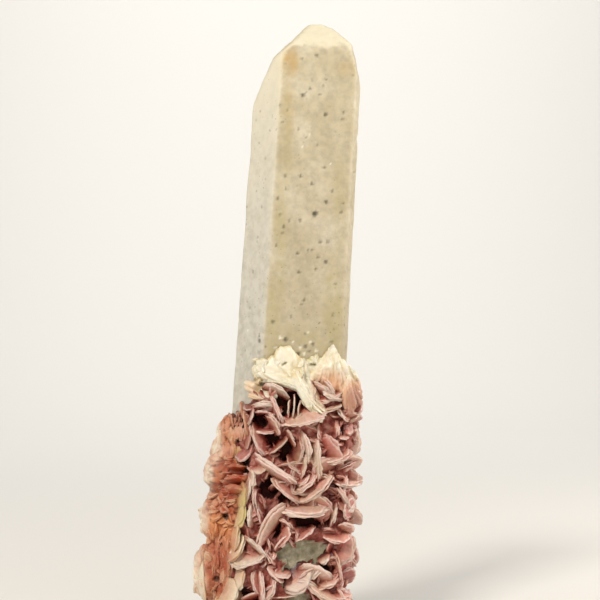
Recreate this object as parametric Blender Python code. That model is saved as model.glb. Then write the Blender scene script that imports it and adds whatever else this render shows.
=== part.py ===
"""Frosted quartz crystal: a long leaning prism standing on its cut foot, its lower half wrapped in a crust
of rose-pink crested blades, with a compact iron-stained crust down the left flank.

Run with: blender --background --python part.py
Lengths below are millimetres and angles are degrees; mesh_object() turns them into metres.
The front of the specimen faces -Y, +X is to the right of it and +Z is up. An azimuth is 0 at the front and
grows towards the right, so that 90 is the right side, 180 the back and 270 the left side.
"""

import math
import random

import bmesh
import bpy
from mathutils import Matrix, Vector, noise

MM = 0.001
BLOCK_SIZE = 600  # larger than the specimen on every side

# The lengths below are measured from a point beside the foot. This is the middle of the specimen's plan.
PLAN_MIDDLE = (0.105, 0.225)

# The quartz prism
LEAN = 3.4  # the crystal leans this far to the right
AXIS_FOOT = Vector((-0.9, 0, 0))  # where its axis meets the ground
TAPER = 0.5  # each prism face closes in by this much on the way up
EDGE_ROUNDING = 0.45
CLEARANCE = 0.3  # kept between two solids that touch

# Prism faces: the azimuth that each faces, and how far it lies from the axis at the foot
PRISM_FACES = {
    "front": (8, 9.1),
    "right": (68, 14.75),
    "back_right": (128, 10.15),
    "back": (188, 9.7),
    "back_left": (248, 13.35),
    "left": (308, 11.85),
}
# Faces of the tip: the azimuth that each faces, how far up it looks, and a point that it passes through
TIP_FACES = {
    "left_shoulder": (274, 23.5, (-3.4, 0, 140)),
    "left_slope": (280, 46, (2.8, -2, 148.8)),
    "front_cap": (6, 42, (10, -7.6, 148.0)),
    "right_slope": (90, 49.5, (16.8, -2, 149.9)),
    "right_shoulder": (84, 11, (19.8, 0, 144)),
    "back_slope": (178, 46, (10, -1.0, 154.0)),
    "crest": (-20, 84, (10, -1.7, 153.8)),
}
# Etched pits on the front: x, height, radius
PITS = [(9.3, 106.2, 0.9), (6.3, 135.3, 0.6), (11.9, 130.5, 0.6), (9.2, 115.4, 0.6), (11.2, 94.6, 0.6)]
PIT_DEPTH = 0.45

# The crust of blades. How high the crust climbs: azimuth, height
CRUST_HEIGHTS = [
    (0, 69),
    (60, 68),
    (100, 63),
    (150, 58),
    (205, 61),
    (250, 55),
    (290, 57),
    (325, 63),
    (360, 69),
]
BODY_THICKNESS = 1.8  # of the crust's base, which the blades stand on
BODY_LUMPS = 0.6  # how much that thickness swells and thins
LUMP_SPACING = 7.0
BODY_SIDES = 28
BODY_STEPS = 11
BELOW = 2.0  # how far a crust is first made below the ground, which cuts it off
WINDOW_DEPTH = 6.0
SLIVERS_KEPT = 0.46  # share of the joined blades' faces that stays
BLADE_SIDES = 8
BLADE_CORNERS = 0.8  # below 1 fills out the corners of a blade's oval outline
BLADE_FLAT = 0.7  # share of a blade that is flat, before it thins towards its edge
BLADE_THICKNESS = 1.3

# Places where the base is missing and the prism shows: x, height, half width, half height
WINDOWS = [(6.4, 23.2, 6.2, 2.5), (3.9, 17.6, 2.6, 3.4), (4.6, 11.6, 2.4, 1.8)]

# Blades of the front, chosen by eye. Each stands on the prism like a wall: x and height of the middle of its
# outer rim, half length, roll of the rim up from level, how far its face turns up (above 0) or down (below 0)
# from edge-on, thickness, and how far the rim stands off the prism
FRONT_BLADES = [
    (-3.2, 60.0, 2.9, 0, -15, 1.5, 5.2),
    (0.2, 58.8, 3.9, -65, -20, 1.2, 5.1),
    (-0.2, 55.6, 3.1, -58, -24, 1.2, 5.1),
    (-5.5, 50.8, 4.6, -66, 27, 1.8, 5.5),
    (0.8, 48.9, 3.2, 42, 23, 1.1, 4.2),
    (6.4, 47.5, 4.9, -102, -46, 1.1, 4),
    (3.5, 43.9, 3.0, -45, 36, 1.1, 3.8),
    (6.8, 55.0, 6.1, 17, 31, 1.2, 5.5),
    (10.5, 46.1, 5.4, -86, -22, 1.5, 5.3),
    (7.9, 49.1, 4.2, -80, -18, 1.2, 5),
    (7.2, 44.5, 4.0, -99, -28, 1.1, 4.4),
    (13.1, 60.5, 3.4, 17, 20, 1.2, 5),
    (13.2, 57.9, 3.2, 16, 19, 1.2, 5.3),
    (18.5, 60.9, 3.6, -68, -41, 1.2, 4.8),
    (15.6, 56.8, 2.5, -53, 10, 1.8, 5),
    (20.0, 52.4, 5.0, -103, -41, 1.5, 4.8),
    (14.6, 44.9, 3.8, 9, 34, 1.5, 5.2),
    (-0.2, 44.2, 6.1, -32, -16, 2.1, 5.6),
    (-4.4, 43.0, 3.0, 9, 35, 1.1, 4.6),
    (1.5, 38.2, 4.7, -48, 29, 1.1, 5),
    (7.5, 39.5, 3.3, 37, 23, 1.2, 5),
    (10.1, 37.8, 5.6, 36, 29, 1.2, 5.5),
    (6.6, 33.0, 6.2, 0, 12, 2.7, 5.7),
    (14.4, 32.2, 3.2, 72, 17, 1.2, 5.4),
    (19.5, 34.2, 4.5, -92, -34, 1.2, 4.8),
    (-2.8, 30.9, 6.0, 59, -20, 2.1, 5.7),
    (2.6, 27.4, 3.1, -113, -28, 1.1, 4.7),
    (7.1, 27.4, 3.0, 33, 24, 1.1, 4.7),
    (13.9, 25.9, 3.3, -11, 26, 1.2, 5.3),
    (-4.8, 25.5, 3.8, -41, -15, 1.2, 5.3),
    (-7.4, 20.1, 4.0, 9, 33, 1.5, 5),
    (6.9, 18.9, 3.0, 33, -25, 1.1, 4.5),
    (12.5, 15.1, 3.6, 18, 30, 1.2, 4.8),
    (10.0, 12.9, 5.2, -37, 17, 2.1, 5.4),
    (15.6, 20.1, 4.2, -80, -20, 1.5, 5),
    (17.8, 17.9, 5.4, -83, -21, 1.5, 4.9),
    (16.2, 12.1, 3.0, -73, -20, 1.2, 5.1),
    (-6.2, 16.4, 2.9, -78, 33, 1.2, 5),
    (-3.4, 14.9, 4.9, -87, -18, 1.2, 4.9),
    (0.4, 64.2, 3.8, -23, -33, 1.1, 4.3),
    (-6.2, 38.8, 3.8, -99, -26, 1.1, 4.8),
    (14.9, 11.8, 3.3, -13, 22, 1.2, 5.2),
    (0.6, 9.8, 3.0, 5, 29, 1.2, 5),
    (10.0, 7.6, 3.2, -11, 24, 1.2, 5.2),
    (-0.4, 5.2, 3.6, 12, 28, 1.2, 5.2),
    (13.5, 4.8, 3.5, 13, 28, 1.2, 5.2),
    (6.4, 3.5, 3.4, 17, 25, 1.2, 5),
    (17.5, 6.0, 4.0, -85, -25, 1.5, 4.9),
]
FOOT_DEPTH = 0.4  # how far a front blade's inner rim would reach into the prism
# Soft cream folds that spread over the front of the prism at the crust's upper edge: x and height of each
# end, half width, how far out the middle line lies
FAN_FOLDS = [
    (-3.9, 66.5, 2.1, 72.0, 2.2, 0.6),
    (0.9, 72.0, 5.6, 66.5, 2.0, 0.9),
    (3.4, 71.8, 7.1, 65.0, 1.8, 0.9),
    (5.6, 70.2, 8.9, 66.5, 1.5, 0.7),
    (-0.4, 68.5, 5.6, 66.0, 2.0, 1.4),
    (-3.9, 66.8, 8.1, 63.2, 1.2, 3),
    (3.1, 67.0, 10.4, 56.0, 1.2, 3.6),
    (4.6, 67.5, 9.6, 59.5, 1.2, 3.2),
    (6.1, 66.5, 10.1, 60.5, 1.2, 2.6),
    (9.6, 70.5, 8.9, 64.5, 1.5, 0.8),
    (13.4, 73.0, 9.9, 65.0, 1.5, 1.4),
    (13.6, 72.8, 11.4, 63.0, 1.2, 2.2),
    (13.9, 72.5, 13.4, 62.5, 1.2, 2.6),
    (14.4, 72.0, 15.9, 62.5, 1.5, 2.8),
    (14.6, 71.0, 18.6, 64.0, 1.5, 2.4),
    (16.6, 68.5, 19.9, 62.0, 1.8, 2.6),
    (-7.1, 65.5, -1.4, 61.8, 1.8, 1.6),
    (-6.4, 62.0, -2.4, 61.0, 1.0, 2.6),
]
FOLD_RISE = 1.3  # half the thickness of a fold
# Narrow blades in the stained crust: x, height, half length, roll, face
RUST_BLADES = [
    (-8.6, 56.1, 3.8, -71, 31),
    (-10.6, 53.8, 3.8, -82, -31),
    (-9.8, 43.0, 3.7, -8, -31),
    (-10.1, 40.5, 3.6, -12, -31),
    (-12.2, 31.2, 3.0, 36, 31),
    (-15.6, 20.6, 4.9, -96, 27),
    (-13.8, 21.2, 5.3, -91, 27),
    (-11.6, 20.8, 5.3, -87, -27),
    (-8.0, 32.5, 8.1, -100, -39),
    (-9.4, 15.1, 6.4, -113, -45),
    (-14.9, 9.4, 3.3, -108, 31),
    (-9.9, 6.0, 4.0, -97, 39),
]
SIDE_WIDTH = 0.74  # a side blade's half width as a share of its half length
RUST_WIDTH = 0.42
RUST_OUT = 3.9  # how far a stained blade's middle stands off the prism
# Rounded lobes along the outer side of the stained crust: x, y, height, half width, half depth, half height
RUST_LOBES = [
    (-11.6, -2.6, 52.4, 3.2, 3.4, 4.2),
    (-13.0, 2.0, 47.4, 3.6, 3.8, 5.0),
    (-14.2, -2.4, 42.2, 3.8, 4.0, 5.0),
    (-12.8, 3.4, 37.6, 4.0, 4.4, 5.4),
    (-15.0, -1.2, 30.2, 4.4, 4.6, 6.0),
    (-13.0, 4.4, 25.6, 4.4, 4.2, 5.6),
    (-16.2, -0.6, 17.6, 5.0, 5.0, 7.6),
    (-13.4, 4.6, 12.4, 5.2, 4.6, 6.4),
    (-14.8, -1.4, 4.6, 5.4, 5.8, 6.4),
    (-9.6, -5.6, 25.4, 3.6, 3.2, 5.0),
    (-9.0, -5.4, 46.0, 3.2, 3.0, 5.4),
]
RUST_THICKNESS = 4.0
RUST_SPAN = (250, 322)  # the azimuths that the stained crust covers
RUST_TOP = 58.0
RUST_FADE = 16  # degrees over which its ends thin out
RUST_RISE = 14.0  # height over which its top thins out
# Blades of the sides and the back stand in rows, each shaken out of line
SIDE_SPAN = (50, 248)
SIDE_SPACING = 7.5
SIDE_SIZE = (4.4, 5.6)
SIDE_OUT = 1.7
SEED = 11


def heading(azimuth):
    """The level unit vector that faces this way."""
    angle = math.radians(azimuth)
    return Vector((math.sin(angle), -math.cos(angle), 0))


def axis_at(height):
    """The point of the crystal's axis at this height."""
    return AXIS_FOOT + Vector((math.tan(math.radians(LEAN)) * height, 0, height))


def prism_reach(azimuth, height):
    """How far the prism reaches from its axis, measured level."""
    closing = math.tan(math.radians(TAPER)) * height
    reaches = []
    for facing, distance in PRISM_FACES.values():
        share = math.cos(math.radians(azimuth - facing))
        if share > 0.1:
            reaches.append((distance - closing) / share)
    return min(reaches)


def skin_point(azimuth, height, out=0.0):
    """A point this far outside the prism's skin."""
    return axis_at(height) + heading(azimuth) * (prism_reach(azimuth, height) + out)


def front_point(x, height, out):
    """The point of the front half, this far outside the skin, that lies at x in the front view."""
    points = [skin_point(azimuth, height, out) for azimuth in range(-90, 91)]
    nearest = min(points, key=lambda point: abs(point.x - x))
    return Vector((x, nearest.y, height))


def mesh_object(name, bm):
    """An object with the shape of bm, which is in millimetres and is used up."""
    bmesh.ops.recalc_face_normals(bm, faces=bm.faces)
    bmesh.ops.scale(bm, vec=(MM, MM, MM), verts=bm.verts)
    data = bpy.data.meshes.new(name)
    bm.to_mesh(data)
    bm.free()
    made = bpy.data.objects.new(name, data)
    bpy.context.collection.objects.link(made)
    return made


def apply_modifiers(made):
    """Keeps what an object's modifiers make of it as its own mesh."""
    graph = bpy.context.evaluated_depsgraph_get()
    result = bpy.data.meshes.new_from_object(made.evaluated_get(graph))
    made.modifiers.clear()
    made.data = result


def combine(made, operation, other):
    """Joins other to made, or cuts it away from made, and removes other.

    Blades cross at very flat angles, where the exact solver leaves open edges and the manifold one doesn't.
    """
    boolean = made.modifiers.new("Boolean", "BOOLEAN")
    boolean.operation = operation
    boolean.object = other
    boolean.solver = "MANIFOLD"
    apply_modifiers(made)
    bpy.data.objects.remove(other)


def drop_slivers(made):
    """Merges the smallest of the many thin faces that crossing blades leave."""
    made.modifiers.new("Decimate", "DECIMATE").ratio = SLIVERS_KEPT
    apply_modifiers(made)


def connected_groups(bm):
    """The vertices of bm, in one set for each separate body."""
    unseen = set(bm.verts)
    groups = []
    while unseen:
        edge_of_group = [unseen.pop()]
        group = set(edge_of_group)
        while edge_of_group:
            for edge in edge_of_group.pop().link_edges:
                for vert in edge.verts:
                    if vert in unseen:
                        unseen.discard(vert)
                        group.add(vert)
                        edge_of_group.append(vert)
        groups.append(group)
    return groups


def keep_largest(made):
    """Drops the crumbs and sealed bubbles that cutting leaves, so that one closed body remains."""
    bm = bmesh.new()
    bm.from_mesh(made.data)
    groups = connected_groups(bm)
    largest = max(groups, key=len)
    crumbs = [vert for group in groups if group is not largest for vert in group]
    bmesh.ops.delete(bm, geom=crumbs, context="VERTS")
    bm.to_mesh(made.data)
    bm.free()
    return made


def cut_block(planes):
    """What is left of a large block after cutting it by planes, each a point and an outward normal."""
    bm = bmesh.new()
    bmesh.ops.create_cube(bm, size=BLOCK_SIZE)
    for point, outward in planes:
        everything = bm.verts[:] + bm.edges[:] + bm.faces[:]
        cut = bmesh.ops.bisect_plane(bm, geom=everything, plane_co=point, plane_no=outward, clear_outer=True)
        rim = [item for item in cut["geom_cut"] if isinstance(item, bmesh.types.BMEdge)]
        if rim:
            bmesh.ops.contextual_create(bm, geom=rim)
    return bm


def quartz_planes(grow=0.0):
    """The crystal's faces, each moved outwards by grow."""
    planes = []
    lean = Matrix.Rotation(math.radians(LEAN), 3, "Y")
    taper = math.radians(TAPER)
    for facing, distance in PRISM_FACES.values():
        outward = heading(facing) * math.cos(taper) + Vector((0, 0, math.sin(taper)))
        planes.append((AXIS_FOOT + lean @ heading(facing) * (distance + grow), lean @ outward))
    for facing, rise, point in TIP_FACES.values():
        angle = math.radians(rise)
        outward = heading(facing) * math.cos(angle) + Vector((0, 0, math.sin(angle)))
        planes.append((Vector(point) + outward * grow, outward))
    return planes


def ground():
    """A cutter for all that lies below the flat on which the specimen stands."""
    bm = bmesh.new()
    bmesh.ops.create_cube(bm, size=BLOCK_SIZE)
    bmesh.ops.translate(bm, verts=bm.verts, vec=(0, 0, -BLOCK_SIZE / 2))
    return mesh_object("ground", bm)


def quartz_crystal():
    """The prism: a block cut by its faces, with worn edges, etched pits and a flat foot."""
    bm = cut_block(quartz_planes())
    bmesh.ops.bevel(bm, geom=bm.edges[:], offset=EDGE_ROUNDING, segments=1, affect="EDGES", profile=0.5)
    made = mesh_object("quartz_crystal", bm)
    for x, height, radius in PITS:
        bm = bmesh.new()
        bmesh.ops.create_icosphere(bm, subdivisions=1, radius=radius)
        bmesh.ops.translate(bm, verts=bm.verts, vec=front_point(x, height, radius - PIT_DEPTH))
        combine(made, "DIFFERENCE", mesh_object("pit", bm))
    combine(made, "DIFFERENCE", ground())
    return made


def grown_quartz():
    """A cutter that leaves the clearance between the prism and what is wrapped round it."""
    return mesh_object("grown_quartz", cut_block(quartz_planes(CLEARANCE)))


def crust_height(azimuth):
    """How high the crust climbs on this side."""
    for (start, low), (end, high) in zip(CRUST_HEIGHTS, CRUST_HEIGHTS[1:]):
        if start <= azimuth % 360 <= end:
            share = (azimuth % 360 - start) / (end - start)
            return low + (high - low) * share
    return 0


def lumps(azimuth, height):
    """How much thicker or thinner the crust's base is here."""
    place = heading(azimuth) * 14 + Vector((0, 0, height))
    return noise.noise(place / LUMP_SPACING) * 2 * BODY_LUMPS


def base_thickness(azimuth, height):
    """The thickness of the base that the pink blades stand on."""
    return BODY_THICKNESS + lumps(azimuth, height)


def skin_rings(bm, rings):
    """Closes rings of vertices into one body.

    Triangles keep the folds of a grown copy where the plain one has them.
    """
    count = len(rings[0])
    for lower, upper in zip(rings, rings[1:]):
        for side in range(count):
            after = (side + 1) % count
            bm.faces.new((lower[side], lower[after], upper[after]))
            bm.faces.new((lower[side], upper[after], upper[side]))
    for ring in (rings[0][::-1], rings[-1]):
        for side in range(1, count - 1):
            bm.faces.new((ring[0], ring[side], ring[side + 1]))


def sleeve(name, top_of, thickness_of, grow=0.0):
    """A closed lumpy form round the prism. The prism is cut out of it later, which leaves a crust."""
    bm = bmesh.new()
    rings = []
    for step in range(BODY_STEPS + 1):
        ring = []
        for side in range(BODY_SIDES):
            azimuth = side * 360 / BODY_SIDES
            height = (top_of(azimuth) + grow) * step / BODY_STEPS
            out = thickness_of(azimuth, height) if step < BODY_STEPS else -1.5
            ring.append(bm.verts.new(skin_point(azimuth, height if step else -BELOW, out + grow)))
        rings.append(ring)
    skin_rings(bm, rings)
    return mesh_object(name, bm)


def blade_axes(azimuth, roll, face):
    """The length, width and flat direction of a blade that stands on this side of the prism."""
    out = heading(azimuth)
    across = heading(azimuth + 90)
    tilt = math.radians(roll)
    turn = math.radians(face)
    up = Vector((0, 0, 1))
    length_axis = across * math.cos(tilt) + up * math.sin(tilt)
    in_view = up * math.cos(tilt) - across * math.sin(tilt)
    flat_axis = in_view * math.cos(turn) + out * math.sin(turn)
    return length_axis, length_axis.cross(flat_axis), flat_axis


def filled_out(share):
    """A sine or cosine, drawn out so that the oval it belongs to has fuller corners."""
    return math.copysign(abs(share) ** BLADE_CORNERS, share)


def blade(place, axes, size, half_width, thickness, draw, grow=0.0):
    """One tabular crystal: a thin plate with an uneven rounded outline, which thins to a sharp edge."""
    length_axis, width_axis, flat_axis = axes
    outline = []
    for side in range(BLADE_SIDES):
        angle = 2 * math.pi * (side + 0.5) / BLADE_SIDES
        reach = draw.uniform(0.94, 1.08)
        along = filled_out(math.cos(angle)) * reach * size
        outline.append((along, filled_out(math.sin(angle)) * reach * half_width))
    bm = bmesh.new()
    rings = []
    for share, side_of_plate in ((BLADE_FLAT, -1), (1, 0), (BLADE_FLAT, 1)):
        ring = []
        raised = flat_axis * side_of_plate * (thickness / 2 + grow)
        for along, sideways in outline:
            spot = length_axis * along * share + width_axis * sideways * share
            ring.append(bm.verts.new(place + spot * (1 + grow / size) + raised))
        rings.append(ring)
    skin_rings(bm, rings)
    return mesh_object("blade", bm)


def wall(x, height, size, roll, face, thickness, out, draw):
    """A blade that stands on the front of the prism, with the middle of its outer rim at this place."""
    axes = blade_axes(0, roll, face)
    half_width = (out + FOOT_DEPTH) / 2 / math.cos(math.radians(face))
    return blade(front_point(x, height, out) - axes[1] * half_width, axes, size, half_width, thickness, draw)


def fold(from_x, from_height, to_x, to_height, half_width, out, grow=0.0):
    """One long rounded fold that lies on the front of the prism."""
    start = front_point(from_x, from_height, out)
    end = front_point(to_x, to_height, out)
    along = (end - start).normalized()
    across = along.cross(heading(0)).normalized()
    turned = Matrix((along, across, across.cross(along))).transposed().to_4x4()
    half_sizes = ((end - start).length / 2 + half_width, half_width, FOLD_RISE)
    sizes = Matrix.Diagonal([size + grow for size in half_sizes]).to_4x4()
    bm = bmesh.new()
    matrix = Matrix.Translation((start + end) / 2) @ turned @ sizes
    bmesh.ops.create_uvsphere(bm, u_segments=6, v_segments=5, radius=1, matrix=matrix)
    return mesh_object("fold", bm)


def side_rows():
    """The blades of the sides and the back: azimuth, height, half length, roll and face of each."""
    draw = random.Random(SEED)
    turn = 360 * SIDE_SPACING / (2 * math.pi * prism_reach(90, 0))
    rows = []
    for level in range(int(CRUST_HEIGHTS[0][1] / SIDE_SPACING) + 1):
        azimuth = SIDE_SPAN[0] + turn / 2 * (level % 2)
        while azimuth < SIDE_SPAN[1]:
            around = azimuth + draw.uniform(-4, 4)
            height = SIDE_SPACING * (level + 0.35) + draw.uniform(-1.5, 1.5)
            size = draw.uniform(*SIDE_SIZE)
            row = (around, height, size, draw.uniform(0, 180), draw.uniform(15, 52))
            if height + size / 2 < crust_height(azimuth):
                rows.append(row)
            azimuth += turn
    return rows


def rust_thickness(azimuth, height):
    """The stained crust's thickness, which falls to nothing at the top and at the two ends of its span."""
    start, end = RUST_SPAN
    inside = min(1, max(-1, min(azimuth - start, end - azimuth) / RUST_FADE))
    rise = min(1, (RUST_TOP + 3 - height) / RUST_RISE)
    return inside * rise * RUST_THICKNESS + max(0, inside) * lumps(azimuth, height)


def lobe(place, half_sizes, grow=0.0):
    """One rounded lobe, given its middle and its half width, half depth and half height."""
    bm = bmesh.new()
    sizes = Matrix.Diagonal([size + grow for size in half_sizes]).to_4x4()
    bmesh.ops.create_icosphere(bm, subdivisions=2, radius=1, matrix=Matrix.Translation(place) @ sizes)
    return mesh_object("lobe", bm)


def rust_form(grow=0.0):
    """The stained crust before the prism is cut from it: its base, lobes and narrow blades in one body."""
    draw = random.Random(SEED + 1)
    crust = sleeve("rust_stained_crust", lambda azimuth: RUST_TOP, rust_thickness, grow)
    for x, y, height, *half_sizes in RUST_LOBES:
        combine(crust, "UNION", lobe((x, y, height), half_sizes, grow))
    for x, height, size, roll, face in RUST_BLADES:
        place = front_point(x, height, RUST_OUT)
        axes = blade_axes(0, roll, face)
        combine(crust, "UNION", blade(place, axes, size, size * RUST_WIDTH, BLADE_THICKNESS, draw, grow))
    return crust


def fan_form(grow=0.0):
    """The pale fan before the prism is cut from it: soft folds that run into each other."""
    fan, *others = [fold(*row, grow) for row in FAN_FOLDS]
    fan.name = "cream_blade_fan"
    for other in others:
        combine(fan, "UNION", other)
    return fan


def pink_form():
    """The crust of crested blades, all grown together over one base, with gaps at the front."""
    draw = random.Random(SEED)
    crust = sleeve("pink_blade_crust", crust_height, base_thickness)
    for x, height, half_width, half_height in WINDOWS:
        combine(crust, "DIFFERENCE", lobe(front_point(x, height, 0), (half_width, WINDOW_DEPTH, half_height)))
    for row in FRONT_BLADES:
        combine(crust, "UNION", wall(*row, draw))
    for around, height, size, roll, face in side_rows():
        place = skin_point(around, height, SIDE_OUT)
        axes = blade_axes(around, roll, face)
        combine(crust, "UNION", blade(place, axes, size, size * SIDE_WIDTH, BLADE_THICKNESS, draw))
    drop_slivers(crust)
    combine(crust, "DIFFERENCE", rust_form(CLEARANCE))
    combine(crust, "DIFFERENCE", fan_form(CLEARANCE))
    return crust


def finish_crust(crust):
    """Cuts the prism and the ground out of a crust and keeps its one body."""
    combine(crust, "DIFFERENCE", grown_quartz())
    combine(crust, "DIFFERENCE", ground())
    return keep_largest(crust)


def material(name, colour, roughness):
    """A plain finish that stands for the real one."""
    made = bpy.data.materials.new(name)
    made.use_nodes = True
    shader = made.node_tree.nodes["Principled BSDF"]
    shader.inputs["Base Color"].default_value = (*colour, 1)
    shader.inputs["Roughness"].default_value = roughness
    return made


def main():
    for old in list(bpy.data.objects):
        bpy.data.objects.remove(old)
    pieces = {
        quartz_crystal(): material("frosted_quartz", (0.69, 0.58, 0.39), 0.55),
        finish_crust(pink_form()): material("pink_blades", (0.52, 0.22, 0.18), 0.4),
        finish_crust(rust_form()): material("iron_stained_crust", (0.45, 0.17, 0.08), 0.6),
        finish_crust(fan_form()): material("cream_blades", (0.85, 0.76, 0.52), 0.45),
    }
    middle = Vector((*PLAN_MIDDLE, 0)) * MM
    for piece, finish in pieces.items():
        piece.data.transform(Matrix.Translation(-middle))
        piece.data.materials.clear()
        piece.data.materials.append(finish)


main()
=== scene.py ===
# %% [markdown]
# # Frosted quartz crystal in a crust of rose blades
# The real thing is a mineral specimen about 154 mm tall: one long milky prism of quartz with a frosted
# skin, whose lower half is wrapped in thin, rounded, rose-coloured plates that grew on edge across each
# other. The left flank is stained by iron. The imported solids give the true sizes, and this file adds the
# surface that a hand would feel: worn edges, pits, layered plates with ragged rims, and the stains.

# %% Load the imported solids
import math
import random

import bmesh
import bpy
import numpy as np
from mathutils import Matrix, Vector, noise


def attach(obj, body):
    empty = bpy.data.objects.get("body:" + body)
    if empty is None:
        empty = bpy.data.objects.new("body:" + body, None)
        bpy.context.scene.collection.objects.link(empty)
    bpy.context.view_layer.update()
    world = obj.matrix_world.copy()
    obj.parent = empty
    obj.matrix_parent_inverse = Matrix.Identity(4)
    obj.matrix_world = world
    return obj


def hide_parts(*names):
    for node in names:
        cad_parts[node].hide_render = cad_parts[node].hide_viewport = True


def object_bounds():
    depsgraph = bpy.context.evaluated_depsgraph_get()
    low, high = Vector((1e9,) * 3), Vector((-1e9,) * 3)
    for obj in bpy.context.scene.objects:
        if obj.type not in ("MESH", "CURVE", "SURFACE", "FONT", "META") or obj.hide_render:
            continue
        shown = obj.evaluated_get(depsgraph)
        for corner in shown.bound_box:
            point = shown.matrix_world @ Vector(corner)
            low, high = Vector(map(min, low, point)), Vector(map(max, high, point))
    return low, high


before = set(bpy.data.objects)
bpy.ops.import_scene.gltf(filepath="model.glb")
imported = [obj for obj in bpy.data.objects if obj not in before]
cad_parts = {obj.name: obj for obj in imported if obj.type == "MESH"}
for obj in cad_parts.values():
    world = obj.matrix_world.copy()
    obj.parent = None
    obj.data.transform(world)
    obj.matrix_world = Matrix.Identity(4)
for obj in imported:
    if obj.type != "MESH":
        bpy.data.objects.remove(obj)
solid_box = [list(corner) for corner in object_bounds()]
print("solid box, mm:", [[round(value * 1000, 1) for value in corner] for corner in solid_box])

# %% [markdown]
# ## Sizes
# Everything is worked out in millimetres and turned into metres at the very end, because a crystal is
# measured in millimetres. The values in this cell are those that the solids were made from, so that the
# fine surface lies where the plain one is. The front of the specimen faces -Y. An azimuth is 0 at the front
# and 90 at the right side.

# %% Shared sizes of the prism and the crust
MM = 0.001
PLAN_MIDDLE = Vector((0.105, 0.225, 0))  # where the frame's origin lies in the coordinates used here
LEAN = 3.4  # degrees to the right
AXIS_FOOT = Vector((-0.9, 0, 0))
TAPER = 0.5  # degrees
# Long faces: azimuth, distance from the axis at the foot
PRISM_FACES = {
    "front": (8, 9.1),
    "right": (68, 14.75),
    "back_right": (128, 10.15),
    "back": (188, 9.7),
    "back_left": (248, 13.35),
    "left": (308, 11.85),
}
# Faces of the tip: azimuth, how far the face looks upwards, a point on it
TIP_FACES = {
    "left_shoulder": (274, 23.5, (-3.4, 0, 140)),
    "left_slope": (280, 46, (2.8, -2, 148.8)),
    "front_cap": (6, 42, (10, -7.6, 148.0)),
    "right_slope": (90, 49.5, (16.8, -2, 149.9)),
    "right_shoulder": (84, 11, (19.8, 0, 144)),
    "back_slope": (178, 46, (10, -1.0, 154.0)),
    "crest": (-20, 84, (10, -1.7, 153.8)),
}
LEAST_SHARE = 0.1  # a face at a smaller cosine than this doesn't bound the prism on that side
# How high the crust climbs: azimuth, height
CRUST_HEIGHTS = [
    (0, 69), (60, 68), (100, 63), (150, 58), (205, 61), (250, 55), (290, 57), (325, 63), (360, 69)
]


def heading(azimuth):
    """The level unit vector that faces this way."""
    angle = math.radians(azimuth)
    return Vector((math.sin(angle), -math.cos(angle), 0))


def rising(azimuth, rise):
    """The vector that faces this way and rises by this angle."""
    angle = math.radians(rise)
    return heading(azimuth) * math.cos(angle) + Vector((0, 0, math.sin(angle)))


def axis_at(height):
    """The point of the crystal's axis at this height."""
    return AXIS_FOOT + Vector((math.tan(math.radians(LEAN)) * height, 0, height))


def prism_reach(azimuth, height):
    """How far the prism reaches from its axis, measured level."""
    closing = math.tan(math.radians(TAPER)) * height
    reaches = []
    for facing, distance in PRISM_FACES.values():
        share = math.cos(math.radians(azimuth - facing))
        if share > LEAST_SHARE:
            reaches.append((distance - closing) / share)
    return min(reaches)


def skin_point(azimuth, height, out=0.0):
    """A point this far outside the prism's skin."""
    return axis_at(height) + heading(azimuth) * (prism_reach(azimuth, height) + out)


def front_point(x, height, out):
    """The point of the front half, this far outside the skin, that lies at x in the front view."""
    points = [skin_point(azimuth, height, out) for azimuth in range(-90, 91)]
    nearest = min(points, key=lambda point: abs(point.x - x))
    return Vector((x, nearest.y, height))


def crust_height(azimuth):
    """How high the crust climbs on this side."""
    return float(np.interp(azimuth % 360, *zip(*CRUST_HEIGHTS)))


def quartz_planes(grow=0.0):
    """The crystal's faces, each a point and an outward normal, moved outwards by grow."""
    planes = []
    lean = Matrix.Rotation(math.radians(LEAN), 3, "Y")
    for facing, distance in PRISM_FACES.values():
        point = AXIS_FOOT + lean @ heading(facing) * (distance + grow)
        planes.append((point, lean @ rising(facing, TAPER)))
    for facing, rise, point in TIP_FACES.values():
        outward = rising(facing, rise)
        planes.append((Vector(point) + outward * grow, outward))
    return planes


print("prism at mid height, mm across:", round(prism_reach(90, 77) + prism_reach(270, 77), 1))

# %% [markdown]
# ## Camera, floor and light
# The specimen is looked at level, from far enough that its edges stay nearly parallel, as a collector's
# photograph is taken. The lens and the distance together make 150 mm of height fill the picture. The floor
# runs up into a pale backdrop in one curve, which has no line to draw the eye away. One big soft light from
# the upper left shows the prism's bright left face, a smaller one from the right draws the pale rims, weak
# ones from the left and the front open the shadows, and one more is for the backdrop alone.

# %% Camera
LENS = 100
SENSOR = 36
PICTURE_SIDE = 150
PICTURE_MIDDLE = Vector((5.625, 0, 85))
CLIP_START = 10
CLIP_END = 20000

camera_data = bpy.data.cameras.new("camera")
camera_data.lens = LENS
camera_data.sensor_width = SENSOR
camera_data.clip_start = CLIP_START * MM
camera_data.clip_end = CLIP_END * MM
camera = bpy.data.objects.new("camera", camera_data)
bpy.context.collection.objects.link(camera)
camera_distance = PICTURE_SIDE * LENS / SENSOR
camera.location = (PICTURE_MIDDLE - PLAN_MIDDLE + Vector((0, -camera_distance, 0))) * MM
camera.rotation_euler = (math.radians(90), 0, 0)
bpy.context.scene.camera = camera
print("camera distance, mm:", round(camera_distance))

# %% [markdown]
# ## Two small helpers for materials
# Colours are written as the hex values that a paint program shows. Those are sRGB, and the renderer works
# in linear light, so one function turns one into the other. The second function adds a shader node, sets it
# and links it, which keeps a material's recipe readable from top to bottom.

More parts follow.
